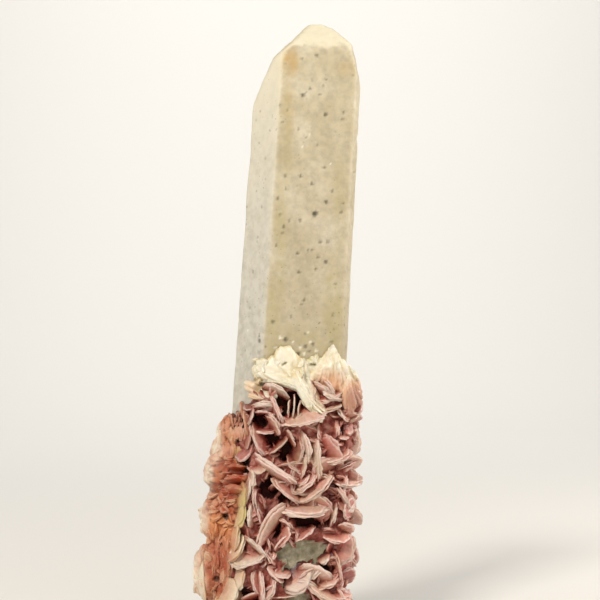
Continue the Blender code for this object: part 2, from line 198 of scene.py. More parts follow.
# %% Colour and node helpers
def linear(hex_colour):
    """The linear RGBA of an sRGB hex colour."""
    values = [int(hex_colour[start : start + 2], 16) / 255 for start in (1, 3, 5)]
    return [value / 12.92 if value <= 0.04045 else ((value + 0.055) / 1.055) ** 2.4 for value in values] + [1]


def add(tree, kind, inputs=None, stops=None, **settings):
    """Adds a node. inputs maps a socket's name or number to a value or to the output that feeds it."""
    node = tree.nodes.new(kind)
    for key, value in settings.items():
        setattr(node, key, value)
    for key, value in (inputs or {}).items():
        if isinstance(value, bpy.types.NodeSocket):
            tree.links.new(value, node.inputs[key])
        else:
            node.inputs[key].default_value = value
    if stops:
        elements = node.color_ramp.elements
        while len(elements) < len(stops):
            elements.new(1)
        for element, (place, colour) in zip(elements, stops):
            element.position = place
            element.color = linear(colour) if isinstance(colour, str) else (colour, colour, colour, 1)
    return node


def new_material(name):
    """A material and its tree, empty but for the shader and the output."""
    made = bpy.data.materials.new(name)
    made.use_nodes = True
    return made, made.node_tree, made.node_tree.nodes["Principled BSDF"]


print("mid grey #808080 in linear light:", [round(value, 3) for value in linear("#808080")])

# %% Floor and backdrop
FLOOR_FRONT = -900
FLOOR_BACK = 700
BACKDROP_HEIGHT = 1500
FLOOR_HALF_WIDTH = 1400
SWEEP_RADIUS = 400
SWEEP_STEPS = 24

profile = [(FLOOR_FRONT, 0.0)]
for step in range(SWEEP_STEPS + 1):
    angle = math.pi / 2 * step / SWEEP_STEPS
    along = FLOOR_BACK + SWEEP_RADIUS * math.sin(angle)
    profile.append((along, SWEEP_RADIUS * (1 - math.cos(angle))))
profile.append((FLOOR_BACK + SWEEP_RADIUS, BACKDROP_HEIGHT))
sweep = bmesh.new()
edges = []
for side in (-FLOOR_HALF_WIDTH, FLOOR_HALF_WIDTH):
    edges.append([sweep.verts.new((side * MM, y * MM, z * MM)) for y, z in profile])
for index in range(len(profile) - 1):
    sweep.faces.new((edges[0][index], edges[1][index], edges[1][index + 1], edges[0][index + 1]))
floor_mesh = bpy.data.meshes.new("floor")
sweep.to_mesh(floor_mesh)
sweep.free()
floor_mesh.shade_smooth()
floor = bpy.data.objects.new("floor", floor_mesh)
bpy.context.collection.objects.link(floor)
paper, tree, shader = new_material("matt_backdrop_paper")
shader.inputs["Base Color"].default_value = linear("#E6E3DD")
shader.inputs["Roughness"].default_value = 0.9
floor.data.materials.append(paper)
print("floor and backdrop:", len(floor.data.polygons), "faces")

# %% Lights
SPECIMEN_MIDDLE = Vector((0, 0, 80))
BACKDROP_AIM = Vector((0, 1100, 500))
WORLD_STRENGTH = 0.2


def soft_light(name, place, size, watts, colour, target=SPECIMEN_MIDDLE):
    """A square light that faces the middle of the specimen, or another target."""
    data = bpy.data.lights.new(name, "AREA")
    data.size = size * MM
    data.energy = watts
    data.color = linear(colour)[:3]
    made = bpy.data.objects.new(name, data)
    bpy.context.collection.objects.link(made)
    made.location = Vector(place) * MM
    aim = target * MM - made.location
    made.rotation_euler = aim.to_track_quat("-Z", "Y").to_euler()
    return made


soft_light("key_light", (-250, -500, 560), 150, 3.9, "#FFF8EE")
soft_light("left_rim_light", (-420, 120, 200), 160, 0.3, "#FFFFFF")
soft_light("right_rim_light", (440, 60, 260), 160, 1.5, "#FFF9F2")
soft_light("front_fill_light", (300, -560, 160), 400, 0.8, "#FFF8EE")
soft_light("backdrop_light", (0, 500, 900), 500, 7, "#FFFFFF", BACKDROP_AIM)
world = bpy.data.worlds.new("studio")
world.use_nodes = True
world.node_tree.nodes["Background"].inputs["Color"].default_value = linear("#E8EAEE")
world.node_tree.nodes["Background"].inputs["Strength"].default_value = WORLD_STRENGTH
bpy.context.scene.world = world
bpy.context.scene.view_settings.view_transform = "Standard"

# %% [markdown]
# ## The quartz prism
# A crystal is what is left after cutting a block by its faces, so the prism starts as a large block cut by
# six long faces and seven small ones at the tip. Real frosted quartz has no razor edges: its skin was
# etched, its corners chipped and its tip worn round. A bevel takes off the edges. A voxel remesh then turns
# the few large faces into an even net, fine enough for small wear, and points of that net are moved by
# smooth noise, more so near the tip.

# %% Cut the prism
BLOCK_SIZE = 600
EDGE_ROUNDING = 0.7
VOXEL = 0.46
GROUND = (Vector((0, 0, 0)), Vector((0, 0, -1)))  # the plane of the cut foot: a point, and the way it faces
FOOT_EDGE = 1  # edges that stay below this height are the cut foot's own, which stay sharp


def cut_off(bm, point, outward):
    """Cuts off what lies outside a plane. Returns the edges of the cut."""
    everything = bm.verts[:] + bm.edges[:] + bm.faces[:]
    plane = {"plane_co": point, "plane_no": outward, "clear_outer": True}
    cut = bmesh.ops.bisect_plane(bm, geom=everything, **plane)
    return [item for item in cut["geom_cut"] if isinstance(item, bmesh.types.BMEdge)]


def cut_block(planes):
    """What is left of a large block after cutting it by planes."""
    bm = bmesh.new()
    bmesh.ops.create_cube(bm, size=BLOCK_SIZE)
    for point, outward in planes:
        rim = cut_off(bm, point, outward)
        if rim:
            bmesh.ops.contextual_create(bm, geom=rim)
    return bm


def make_piece(name, mesh):
    """An object for a mesh that is already in place."""
    made = bpy.data.objects.new(name, mesh)
    bpy.context.collection.objects.link(made)
    return made


def apply_modifiers(piece):
    """Keeps what an object's modifiers make of it as its own mesh."""
    graph = bpy.context.evaluated_depsgraph_get()
    result = bpy.data.meshes.new_from_object(piece.evaluated_get(graph))
    piece.modifiers.clear()
    piece.data = result


def remesh(piece, voxel):
    """Turns a closed form into an even net. The form is in millimetres here."""
    piece.modifiers.new("Net", "REMESH").voxel_size = voxel
    apply_modifiers(piece)


def points_of(piece):
    """The vertices of a piece as an array with one row for each."""
    points = np.empty(len(piece.data.vertices) * 3)
    piece.data.vertices.foreach_get("co", points)
    return points.reshape(-1, 3)


def set_points(piece, points):
    """Moves the vertices of a piece to these places."""
    piece.data.vertices.foreach_set("co", points.ravel())
    piece.data.update()


def normals_of(piece):
    """The way that each vertex of a piece faces."""
    normals = np.empty(len(piece.data.vertices) * 3)
    piece.data.vertices.foreach_get("normal", normals)
    return normals.reshape(-1, 3)


def swell(points, grain, octaves=2):
    """Smooth noise at each point, from about -1 to 1, with lumps of this size in millimetres."""
    places = (points / grain).tolist()
    return np.array([noise.fractal(place, 1.0, 2.0, octaves) for place in places])


def store(piece, name, values):
    """Keeps one number for each vertex, for a material to read."""
    attribute = piece.data.attributes.new(name, "FLOAT", "POINT")
    attribute.data.foreach_set("value", np.asarray(values, np.float32))


block = cut_block(quartz_planes() + [GROUND])
upright = [edge for edge in block.edges if max(vert.co.z for vert in edge.verts) > FOOT_EDGE]
bmesh.ops.bevel(block, geom=upright, offset=EDGE_ROUNDING, segments=2, affect="EDGES", profile=0.5)
prism_mesh = bpy.data.meshes.new("frosted_prism")
block.to_mesh(prism_mesh)
block.free()
prism = make_piece("frosted_prism", prism_mesh)
remesh(prism, VOXEL)
print("prism net:", len(prism.data.polygons), "faces")

# %% [markdown]
# ## Wear, nicks and dark specks
# The tip was knocked and dissolved until it is as round as a used piece of soap, so the net is smoothed
# there before it is roughened. The skin is dotted with dark grey-green specks, where grains of another
# mineral sat and some fell out. The larger ones are real shallow pits, each listed one by one, and each
# stores a dark tint on its vertices. The finest are left to the material, because a pit smaller than the net
# can't be modelled.

# %% Wear the prism
TIP_START = 139.0
TIP_FADE = 9.0
SMOOTHING_STEPS = 14
# Waves of the skin: their size, and how far they reach
LONG_WAVES = (9.0, 0.16)
SHORT_WAVES = (2.2, 0.05)
TIP_WAVES = (2.8, 0.32)
TIP_WORN = 0.3  # how far the tip's waves lean inwards, as a share of their reach
FOOT_CALM = 2  # wear fades in over this height above the cut foot
# Dark specks of the front: x, height, radius
SPECKS = [
    (9.3, 106.2, 0.8), (11.9, 130.5, 0.6), (6.3, 135.3, 0.6), (8.1, 136.9, 0.45), (9.7, 145.0, 0.45),
    (6.1, 144.1, 0.4), (5.8, 115.4, 0.5), (8.6, 113.5, 0.5), (0.2, 109.9, 0.5), (12.1, 109.1, 0.55),
    (13.5, 111.8, 0.45), (15.7, 106.6, 0.45), (5.6, 104.5, 0.45), (1.6, 103.0, 0.5), (1.3, 101.4, 0.4),
    (10.6, 99.2, 0.5), (12.4, 99.3, 0.45), (7.6, 97.2, 0.4), (-0.2, 98.3, 0.45), (5.0, 96.4, 0.5),
    (10.0, 95.5, 0.45), (12.0, 94.4, 0.55), (5.3, 91.8, 0.5), (9.5, 92.6, 0.45), (6.6, 85.0, 0.45),
    (-3.8, 108.0, 0.4), (-4.9, 100.5, 0.35), (-6.0, 92.0, 0.4), (-2.9, 120.0, 0.35), (-6.8, 83.0, 0.35),
    (-4.3, 75.0, 0.6), (2.1, 75.3, 0.6), (7.0, 73.6, 0.55), (8.8, 74.2, 0.5), (13.4, 74.7, 0.45),
    (5.2, 71.8, 0.6), (-1.6, 70.0, 0.5), (-7.9, 72.5, 0.35), (-4.6, 72.2, 0.35), (10.4, 79.4, 0.4),
    (3.4, 81.0, 0.4), (6.8, 147.6, 0.3), (12.1, 139.2, 0.4), (8.7, 138.9, 0.35), (10.5, 135.5, 0.4),
    (11.4, 137.6, 0.35), (7.2, 136.0, 0.3), (0.8, 132.6, 0.4), (2.5, 131.5, 0.35), (1.4, 128.6, 0.4),
    (-0.2, 126.9, 0.3), (-1.8, 126.7, 0.35), (-4.2, 131.8, 0.35), (-1.2, 130.2, 0.3), (16.4, 131.2, 0.4),
    (16.0, 129.4, 0.4), (5.2, 126.9, 0.35), (7.1, 125.0, 0.35), (9.8, 123.2, 0.35), (-4.5, 123.9, 0.35),
    (11.6, 117.6, 0.4), (2.0, 115.4, 0.4), (2.2, 112.2, 0.4), (16.2, 108.7, 0.4), (3.0, 104.4, 0.4),
    (0.8, 105.9, 0.4), (6.0, 83.9, 0.4), (-1.0, 79.7, 0.5), (14.3, 89.1, 0.4), (13.5, 81.3, 0.4),
    (8.6, 97.3, 0.4), (-4.3, 76.2, 0.45), (7.9, 72.4, 0.45),
]
# Painted highlights: pale dots where small facets would catch the light, most of them just above the crust:
# x, height, radius
GLINTS = [
    (0.8, 75.8, 0.5), (-0.4, 73.2, 0.45), (6.6, 71.8, 0.5), (4.0, 74.6, 0.35), (9.6, 72.6, 0.45),
    (7.4, 77.0, 0.3), (8.2, 74.6, 0.4), (5.6, 73.2, 0.4), (-7.2, 77.4, 0.35), (7.9, 125.6, 0.35),
    (6.2, 122.4, 0.3), (13.0, 118.6, 0.3),
]
PIT_SHARE = 0.55  # a pit's depth as a share of its radius
FULL_SPECK = 0.75  # a speck of this radius or more is as dark as specks get
# Nicks in the edges: x, height, radius
NICKS = [
    (19.9, 125.0, 1.0), (19.0, 116.5, 0.7), (18.6, 104.0, 0.8), (-5.4, 138.6, 0.8), (-7.2, 121.0, 0.6)
]
NICK_DEPTH = 0.5


def smooth_tip(piece):
    """Rounds the edges of the tip and leaves the rest as it is."""
    heights = points_of(piece)[:, 2]
    group = piece.vertex_groups.new(name="tip")
    for index in np.flatnonzero(heights > TIP_START).tolist():
        group.add([index], min(1, (heights[index] - TIP_START) / TIP_FADE), "REPLACE")
    smooth = piece.modifiers.new("Worn tip", "SMOOTH")
    smooth.vertex_group = "tip"
    smooth.iterations = SMOOTHING_STEPS
    apply_modifiers(piece)


def dents(points, rows):
    """How deep every point lies in the listed dents, 0 outside to 1 in the middle, and the dent's radius."""
    deepest = np.zeros(len(points))
    sizes = np.zeros(len(points))
    for x, height, radius in rows:
        away = np.linalg.norm(points - np.array(front_point(x, height, 0)), axis=1)
        share = np.clip(1 - (away / radius) ** 2, 0, 1)
        sizes = np.where(share > deepest, radius, sizes)
        deepest = np.maximum(deepest, share)
    return deepest, sizes


smooth_tip(prism)
points = points_of(prism)
near_tip = np.clip((points[:, 2] - TIP_START) / TIP_FADE, 0, 1)
wear = swell(points, LONG_WAVES[0]) * LONG_WAVES[1] + swell(points, SHORT_WAVES[0]) * SHORT_WAVES[1]
wear += (swell(points, TIP_WAVES[0], 3) - TIP_WORN) * TIP_WAVES[1] * near_tip
speck, radii = dents(points, SPECKS)
nick, _ = dents(points, NICKS)
wear -= speck * radii * PIT_SHARE + nick * NICK_DEPTH
wear *= np.clip(points[:, 2] / FOOT_CALM, 0, 1)
points += normals_of(prism) * wear[:, None]
set_points(prism, points)
store(prism, "speck", np.sqrt(speck) * np.clip(radii / FULL_SPECK, 0, 1))
# Painted highlights at the glints
store(prism, "glint", dents(points, GLINTS)[0])
print("prism reaches, mm:", points.min(0).round(2), points.max(0).round(2))

# %% [markdown]
# ## Stains of the prism
# Iron and clay soaked into the skin in a few places: an ochre patch under the tip, an olive band beside the
# edge between the left and the front face, and more of it low on the right. A stain is a soft blot, so each
# is one rounded patch with a middle and two half sizes. The strongest at each place is stored on the
# vertices, and the material breaks up its edge with noise.

# %% Stain the prism
# x, height, half width, half height, strength
OCHRE_PATCHES = [
    (3.4, 143.4, 2.0, 3.4, 0.9), (17.0, 142.0, 2.6, 2.0, 0.3), (3.0, 132.0, 1.4, 7.0, 0.35),
]
OLIVE_PATCHES = [
    (2.3, 124.0, 1.5, 16.0, 0.35), (0.9, 98.0, 1.6, 18.0, 0.45), (-0.9, 77.0, 1.8, 14.0, 0.6),
    (13.6, 82.0, 2.6, 14.0, 0.55), (15.2, 108.0, 1.6, 14.0, 0.35), (6.0, 74.0, 8.0, 5.0, 0.45),
]


def patches(points, rows):
    """The strength of a stain at each point of the front, from soft-edged patches."""
    total = np.zeros(len(points))
    for x, height, half_width, half_height, strength in rows:
        away = ((points[:, 0] - x) / half_width) ** 2 + ((points[:, 2] - height) / half_height) ** 2
        total = np.maximum(total, strength * np.exp(-(away**2)))
    return total


def turned_to(piece, way, start, rate):
    """How much each vertex faces this way: 0 up to a cosine of start, then rising at this rate to 1."""
    return np.clip((normals_of(piece) @ np.array(way) - start) * rate, 0, 1)


# The cosine at which a face starts to get its tint, and how fast the tint rises from there. The cap's pale
# tint is a painted highlight for a face that looks up to the light
WHITER_EDGE = (0.7, 5)
CAP_HIGHLIGHT_EDGE = (0.8, 4.5)
# The skin is painted greyer and a little darker low down, near the crust, and reaches its full colour higher
# up
CRUST_SHADE = (70, 145)  # heights between which the skin goes from greyer to clean
FRONT_FADE = 4  # the stains fade out over this depth, towards the back

facing_front = np.clip(0.5 - points[:, 1] / FRONT_FADE, 0, 1)
# The left face gets a colour of its own: greyer mottles low down, turning paler cream higher up
left_way = heading(PRISM_FACES["left"][0])
store(prism, "whiter", turned_to(prism, left_way, *WHITER_EDGE))
cap_way = rising(*TIP_FACES["front_cap"][:2])
# Painted highlight: the upward-facing front cap is made paler
store(prism, "cap", turned_to(prism, cap_way, *CAP_HIGHLIGHT_EDGE) * (points[:, 2] > TIP_START))
store(prism, "clean", np.interp(points[:, 2], CRUST_SHADE, (0, 1)))
store(prism, "ochre", patches(points, OCHRE_PATCHES) * facing_front)
store(prism, "olive", patches(points, OLIVE_PATCHES) * facing_front)
print("stains:", len(OCHRE_PATCHES) + len(OLIVE_PATCHES), "patches")

# %% [markdown]
# ## Material: frosted quartz
# Quartz is glass-clear in itself. This crystal is milky, with countless tiny fluid bubbles inside, and its
# skin was etched to a frost. The eye gets a soft cream body that light enters and leaves again a little
# further on, with no mirror reflections. Subsurface scattering gives the milk, and a high roughness gives
# the frost. The IOR is the real one of quartz, 1.54.

# %% Frosted quartz
QUARTZ_IOR = 1.54
# The sizes of the patterns
FROST_GRAIN = 0.28
CLOUD_SIZE = 9.0
MOTTLE_SIZE = 1.6
SMUDGE_SIZE = 2.0
TORN_SIZE = 2.4
CROWD_SIZE = 14.0
FROST_DEPTH = 0.07
# Specks: the size of the cells that hold one each, and the random values between which a cell gets its speck
SPECK_CELLS = ((2.4, 0.62, 0.75), (1.1, 0.42, 0.6))


def millimetres(tree):
    """The object's own coordinates in millimetres, so that a pattern's size is its real one."""
    place = add(tree, "ShaderNodeTexCoord").outputs["Object"]
    return scaled(tree, place, (1 / MM, 1 / MM, 1 / MM))


def scaled(tree, place, scale):
    """A place with each of its three coordinates multiplied."""
    return add(tree, "ShaderNodeVectorMath", {0: place, 1: scale}, operation="MULTIPLY").outputs[0]


def stored(tree, name):
    """The number that the vertices store under this name."""
    return add(tree, "ShaderNodeAttribute", attribute_name=name).outputs["Fac"]


def clouds(tree, place, size, detail=3.0, roughness=0.55):
    """Noise with lumps of this size in millimetres."""
    settings = {"Vector": place, "Scale": 1 / size, "Detail": detail, "Roughness": roughness}
    return add(tree, "ShaderNodeTexNoise", settings).outputs["Fac"]


def ramp(tree, value, stops):
    """Turns a value into colours, from stops of a place and a colour or a grey."""
    return add(tree, "ShaderNodeValToRGB", {"Fac": value}, stops).outputs["Color"]


def clouded(tree, place, size, detail, stops):
    """The colours of a ramp in clouds of this size in millimetres."""
    return ramp(tree, clouds(tree, place, size, detail), stops)


def maths(tree, operation, *values, clamp=False):
    """One step of arithmetic."""
    inputs = dict(enumerate(values))
    return add(tree, "ShaderNodeMath", inputs, operation=operation, use_clamp=clamp).outputs[0]


def sums(tree, operation, first, second):
    """One step of arithmetic, kept between 0 and 1."""
    return maths(tree, operation, first, second, clamp=True)


def blend(tree, share, under, over, mode="MIX"):
    """Lays one colour over another. Each is an output or a hex colour."""
    ends = {6: under, 7: over}
    inputs = {key: linear(value) if isinstance(value, str) else value for key, value in ends.items()}
    node = add(tree, "ShaderNodeMix", {0: share, **inputs}, data_type="RGBA", blend_type=mode)
    return node.outputs[2]


def relief(tree, shader, height, depth):
    """Bump from a value between 0 and 1, for a depth in millimetres."""
    bump = add(tree, "ShaderNodeBump", {"Height": height, "Distance": depth * MM, "Strength": 1.0})
    tree.links.new(bump.outputs[0], shader.inputs["Normal"])


def set_finish(shader, roughness, ior, milk, tint, depth):
    """How rough a mineral is, what share of the light enters it, and how far each colour spreads inside."""
    shader.inputs["Roughness"].default_value = roughness
    shader.inputs["IOR"].default_value = ior
    shader.inputs["Subsurface Weight"].default_value = milk
    shader.inputs["Subsurface Radius"].default_value = tint
    shader.inputs["Subsurface Scale"].default_value = depth * MM


quartz, tree, shader = new_material("frosted_milky_quartz")
place = millimetres(tree)
body = clouded(tree, place, CLOUD_SIZE, 3.0, [(0.3, "#C9BC9A"), (0.5, "#D6CAAB"), (0.72, "#E4DBC2")])
mottle = clouded(tree, place, MOTTLE_SIZE, 5.0, [(0.3, 0.76), (0.6, 1.0)])
body = blend(tree, 0.75, body, mottle, "MULTIPLY")
greyer = ramp(tree, stored(tree, "clean"), [(0.0, "#F0EFF2"), (1.0, "#FFFFFF")])
body = blend(tree, 1.0, body, greyer, "MULTIPLY")
smudges = clouded(tree, place, SMUDGE_SIZE, 4.0, [(0.32, "#BEBAAC"), (0.6, "#D6D3C7")])
smudges = blend(tree, sums(tree, "POWER", stored(tree, "clean"), 2.0), smudges, "#EBE2C8")
body = blend(tree, sums(tree, "MULTIPLY", stored(tree, "whiter"), 0.8), body, smudges)
torn = clouded(tree, place, TORN_SIZE, 5.0, [(0.3, 0.35), (0.65, 1.0)])
for name, colour in (("ochre", "#CBA96A"), ("olive", "#B9AC74")):
    body = blend(tree, sums(tree, "MULTIPLY", stored(tree, name), torn), body, colour)
specks = None
for cell, least, most in SPECK_CELLS:
    settings = {"Vector": place, "Scale": 1 / cell, "Randomness": 1.0}
    cells = add(tree, "ShaderNodeTexVoronoi", settings)
    dot = ramp(tree, cells.outputs["Distance"], [(0.1, 1.0), (0.2, 0.0)])
    cell_value = add(tree, "ShaderNodeSeparateColor", {0: cells.outputs["Color"]}).outputs[0]
    chosen = ramp(tree, cell_value, [(least, 0.0), (most, 0.8)])
    dot = sums(tree, "MULTIPLY", dot, chosen)
    specks = dot if specks is None else sums(tree, "MAXIMUM", specks, dot)
crowd = clouded(tree, place, CROWD_SIZE, 2.0, [(0.36, 0.0), (0.6, 0.85)])
specks = sums(tree, "MULTIPLY", specks, crowd)
body = blend(tree, specks, body, "#857F66")
# The cap's pale cream and the glints are painted highlights; the specks are dark grains of the skin
for name, colour in (("cap", "#F5EDD2"), ("speck", "#4C4632"), ("glint", "#FFFBEC")):
    body = blend(tree, stored(tree, name), body, colour)
tree.links.new(body, shader.inputs["Base Color"])
set_finish(shader, 0.48, QUARTZ_IOR, 0.35, (1.0, 0.85, 0.6), 3.0)
frost = sums(tree, "SUBTRACT", clouds(tree, place, FROST_GRAIN, 2.0), sums(tree, "MULTIPLY", specks, 0.5))
relief(tree, shader, frost, FROST_DEPTH)
prism.data.materials.append(quartz)
print("quartz shader nodes:", len(tree.nodes))

# %% [markdown]
# ## Thin plates
# Each rose blade is a bundle of thin plates that grew together like the leaves of a book, so its edge shows
# steps and its rim is ragged. One plate is a closed lens: rings of vertices run from the middle of the
# upper side, over the rim, to the middle of the lower side. The outline is a circle pulled out of round by
# a few waves and small random nicks, and the whole plate is curled. Making it with arrays of numbers is
# much faster than with modelling operators, and there are more than a thousand plates.

# %% One plate
FINE_RINGS = (0.4, 0.68, 0.86, 0.96, 1.0)
COARSE_RINGS = (0.5, 0.86, 1.0)
RIM_BLUNTNESS = 0.6  # thickness just inside the rim, as a share of the thickness in the middle
# Waves of the outline: how many to a turn, and their reach as a share of the size
OUTLINE_WAVES = ((2, 0.05), (3, 0.08), (5, 0.05), (8, 0.035), (13, 0.025))
WAVE_SHARE = (0.3, 1)  # what share of a wave's reach a plate gets
RAGGED = 0.042
OUTLINE_POWER = (1.7, 2.7)  # 1 is a lozenge, 2 an oval
CRUMPLE = (0.14, 2.6)  # how far a plate's faces swell, and how far apart
CRUMPLE_SHARE = (0.5, 1)
ANY_PHASE = (0, 6.28)  # a random place along a wave


def shaken(draw, most):
    """A random amount up to this much either way."""
    return draw.uniform(-most, most)


def crumple(along, sideways, draw):
    """A gentle unevenness of a plate's faces."""
    reach, spacing = CRUMPLE
    turn = 2 * math.pi / spacing
    shift = np.sin(along * turn + draw.uniform(*ANY_PHASE))
    shift *= np.sin(sideways * turn + draw.uniform(*ANY_PHASE))
    return reach * draw.uniform(*CRUMPLE_SHARE) * shift


def plate(place, axes, size, width, thickness, curl, draw, segments, rings):
    """The points and faces of one plate, and for each point its values for the material."""
    length_axis, width_axis, flat_axis = (np.array(axis) for axis in axes)
    angle = np.arange(segments) * 2 * math.pi / segments
    reach = np.ones(segments)
    for count, most in OUTLINE_WAVES:
        share = draw.uniform(*WAVE_SHARE)
        reach += share * most * np.cos(count * angle + draw.uniform(*ANY_PHASE))
    reach += np.array([shaken(draw, RAGGED) for _ in range(segments)])
    power = 2 / draw.uniform(*OUTLINE_POWER)
    round_along = np.sign(np.cos(angle)) * np.abs(np.cos(angle)) ** power
    round_across = np.sign(np.sin(angle)) * np.abs(np.sin(angle)) ** power
    shares = np.array(rings + rings[-2::-1])[:, None]
    inner = np.array(rings[:-1])[:, None]
    upper = RIM_BLUNTNESS + (1 - RIM_BLUNTNESS) * np.sqrt(1 - inner**2)
    raised = np.concatenate([upper, [[0]], -upper[::-1]]) * thickness / 2
    along = np.append((shares * round_along * reach * size).ravel(), [0, 0])
    sideways = np.append((shares * round_across * reach * size * width).ravel(), [0, 0])
    raised = np.append(np.repeat(raised.ravel(), segments), [thickness / 2, -thickness / 2])
    raised += curl[0] * along**2 + curl[1] * sideways**2 + curl[2] * along * sideways
    raised += crumple(along, sideways, draw)
    points = np.array(place) + np.outer(along, length_axis) + np.outer(sideways, width_axis)
    points += np.outer(raised, flat_axis)
    inside = (1 - np.append(np.repeat(shares.ravel(), segments), [0, 0])) * size * width
    values = {"inside_rim": inside, "along": along, "sideways": sideways}
    return points, plate_faces(len(shares), segments), values


def plate_faces(rings, segments):
    """The faces of a plate, which are the same for all plates with this many rings and segments."""
    start = np.arange(segments)
    after = (start + 1) % segments
    faces = []
    for ring in range(rings - 1):
        low, high = ring * segments, (ring + 1) * segments
        faces += np.stack([low + start, low + after, high + after, high + start], axis=1).tolist()
    top, bottom = rings * segments, rings * segments + 1
    last = (rings - 1) * segments
    faces += [[top, int(b), int(a)] for a, b in zip(start, after)]
    faces += [[bottom, last + int(a), last + int(b)] for a, b in zip(start, after)]
    return faces


SAMPLE_SIZES = (4, 0.7, 0.4)  # half length, width as a share of it, thickness
sample = plate((0, 0, 0), np.eye(3), *SAMPLE_SIZES, (0, 0, 0), random.Random(1), 40, FINE_RINGS)
print("one plate:", len(sample[0]), "points and", len(sample[1]), "faces")

# %% [markdown]
# ## Books of plates, pressed to the prism
# A blade is a book of one to four plates, each a little turned and shifted against the last. Their feet
# would run into the quartz, so each point that falls inside the prism is moved out to its nearest face: on
# the real specimen, too, the blades start at the crystal's skin. What falls below the ground is cut off and
# closed, as a saw would leave it. How far a point stands off the prism is stored as well, because the
# materials darken the blades towards the prism as painted shade of the deep gaps between them.

# %% Books and pressing
PLATE_THICKNESS = 0.46
PLATE_STEP = 0.28
PLATE_TURN = 1.6  # degrees that a plate is turned about its length
PLATE_SWING = 3 * PLATE_TURN  # and within its own plane
PLATE_SLIP = (0.35, 0.18)  # how far it is shifted along and across
PLATE_SHARE = (0.9, 1.0)  # its size as a share of the blade's
PLATE_TONE = 0.08
CURLS = ((-0.03, 0.03), (-0.03, 0.06), (-0.03, 0.03))  # bend along, bend across and twist
STOUT_SIZE = 4.8  # plates of a larger half length are thicker as well
CLEARANCE = 0.3
DEEP = 5.2  # a point this far off the prism lies in full light


def blade_axes(azimuth, roll, face):
    """The length, width and flat direction of a blade that stands on this side of the prism."""
    out = heading(azimuth)
    across = heading(azimuth + 90)
    tilt = math.radians(roll)
    turn = math.radians(face)
    up = Vector((0, 0, 1))
    length_axis = across * math.cos(tilt) + up * math.sin(tilt)
    in_view = up * math.cos(tilt) - across * math.sin(tilt)
    flat_axis = in_view * math.cos(turn) + out * math.sin(turn)
    return length_axis, length_axis.cross(flat_axis), flat_axis


def held(value, low, high):
    """The value, or the nearer limit where it lies outside them."""
    return max(low, min(high, value))


def book(place, axes, size, width, tone, draw, leaves=3, segments=30, rings=COARSE_RINGS):
    """A blade of several plates. Each is returned with its tone, from 0 for maroon to 1 for cream."""
    length_axis, width_axis, flat_axis = axes
    curl = [draw.uniform(*limits) for limits in CURLS]
    stout = max(1.0, size / STOUT_SIZE)
    plates = []
    for leaf in range(leaves):
        level = leaf - (leaves - 1) / 2
        turn = Matrix.Rotation(math.radians(shaken(draw, PLATE_TURN)), 3, length_axis)
        swing = Matrix.Rotation(math.radians(shaken(draw, PLATE_SWING)), 3, flat_axis)
        turned = [turn @ swing @ axis for axis in axes]
        shift = length_axis * shaken(draw, PLATE_SLIP[0]) + width_axis * shaken(draw, PLATE_SLIP[1])
        spot = place + shift + flat_axis * level * PLATE_STEP * stout
        length = size * draw.uniform(*PLATE_SHARE)
        made = plate(spot, turned, length, width, PLATE_THICKNESS * stout, curl, draw, segments, rings)
        plates.append((*made, held(tone + shaken(draw, PLATE_TONE), 0, 1)))
    return plates


def outside_prism(points):
    """How far each point stands off the prism, below zero inside it, and the shortest way out."""
    planes = quartz_planes()
    spots = np.array([spot for spot, _ in planes])
    ways = np.array([way for _, way in planes])
    reach = points @ ways.T - (spots * ways).sum(1)
    return reach.max(1), ways[reach.argmax(1)]


def press(points):
    """Moves points inside the prism out to its skin. Also returns how far each point then stands off."""
    away, ways = outside_prism(points)
    lift = np.clip(CLEARANCE - away, 0, None)
    return points + ways * lift[:, None], away + lift


def cut_foot(mesh):
    """Cuts off what lies below the ground and closes the cut."""
    bm = bmesh.new()
    bm.from_mesh(mesh)
    bmesh.ops.edgeloop_fill(bm, edges=cut_off(bm, *GROUND))
    bm.to_mesh(mesh)
    bm.free()


def plate_piece(name, plates):
    """One piece from many plates."""
    points = np.concatenate([item[0] for item in plates])
    points, away = press(points)
    faces = []
    start = 0
    for spots, plate_sides, _, _ in plates:
        faces += [[start + index for index in face] for face in plate_sides]
        start += len(spots)
    mesh = bpy.data.meshes.new(name)
    mesh.from_pydata(points.tolist(), [], faces)
    piece = make_piece(name, mesh)
    for name in plates[0][2]:
        store(piece, name, np.concatenate([item[2][name] for item in plates]))
    store(piece, "tone", np.concatenate([np.full(len(item[0]), item[3]) for item in plates]))
    store(piece, "height_off_prism", np.clip(away / DEEP, 0, 1))
    cut_foot(mesh)
    print(piece.name, "has", len(plates), "plates and", sum(len(face) - 2 for face in faces), "triangles")
    return piece
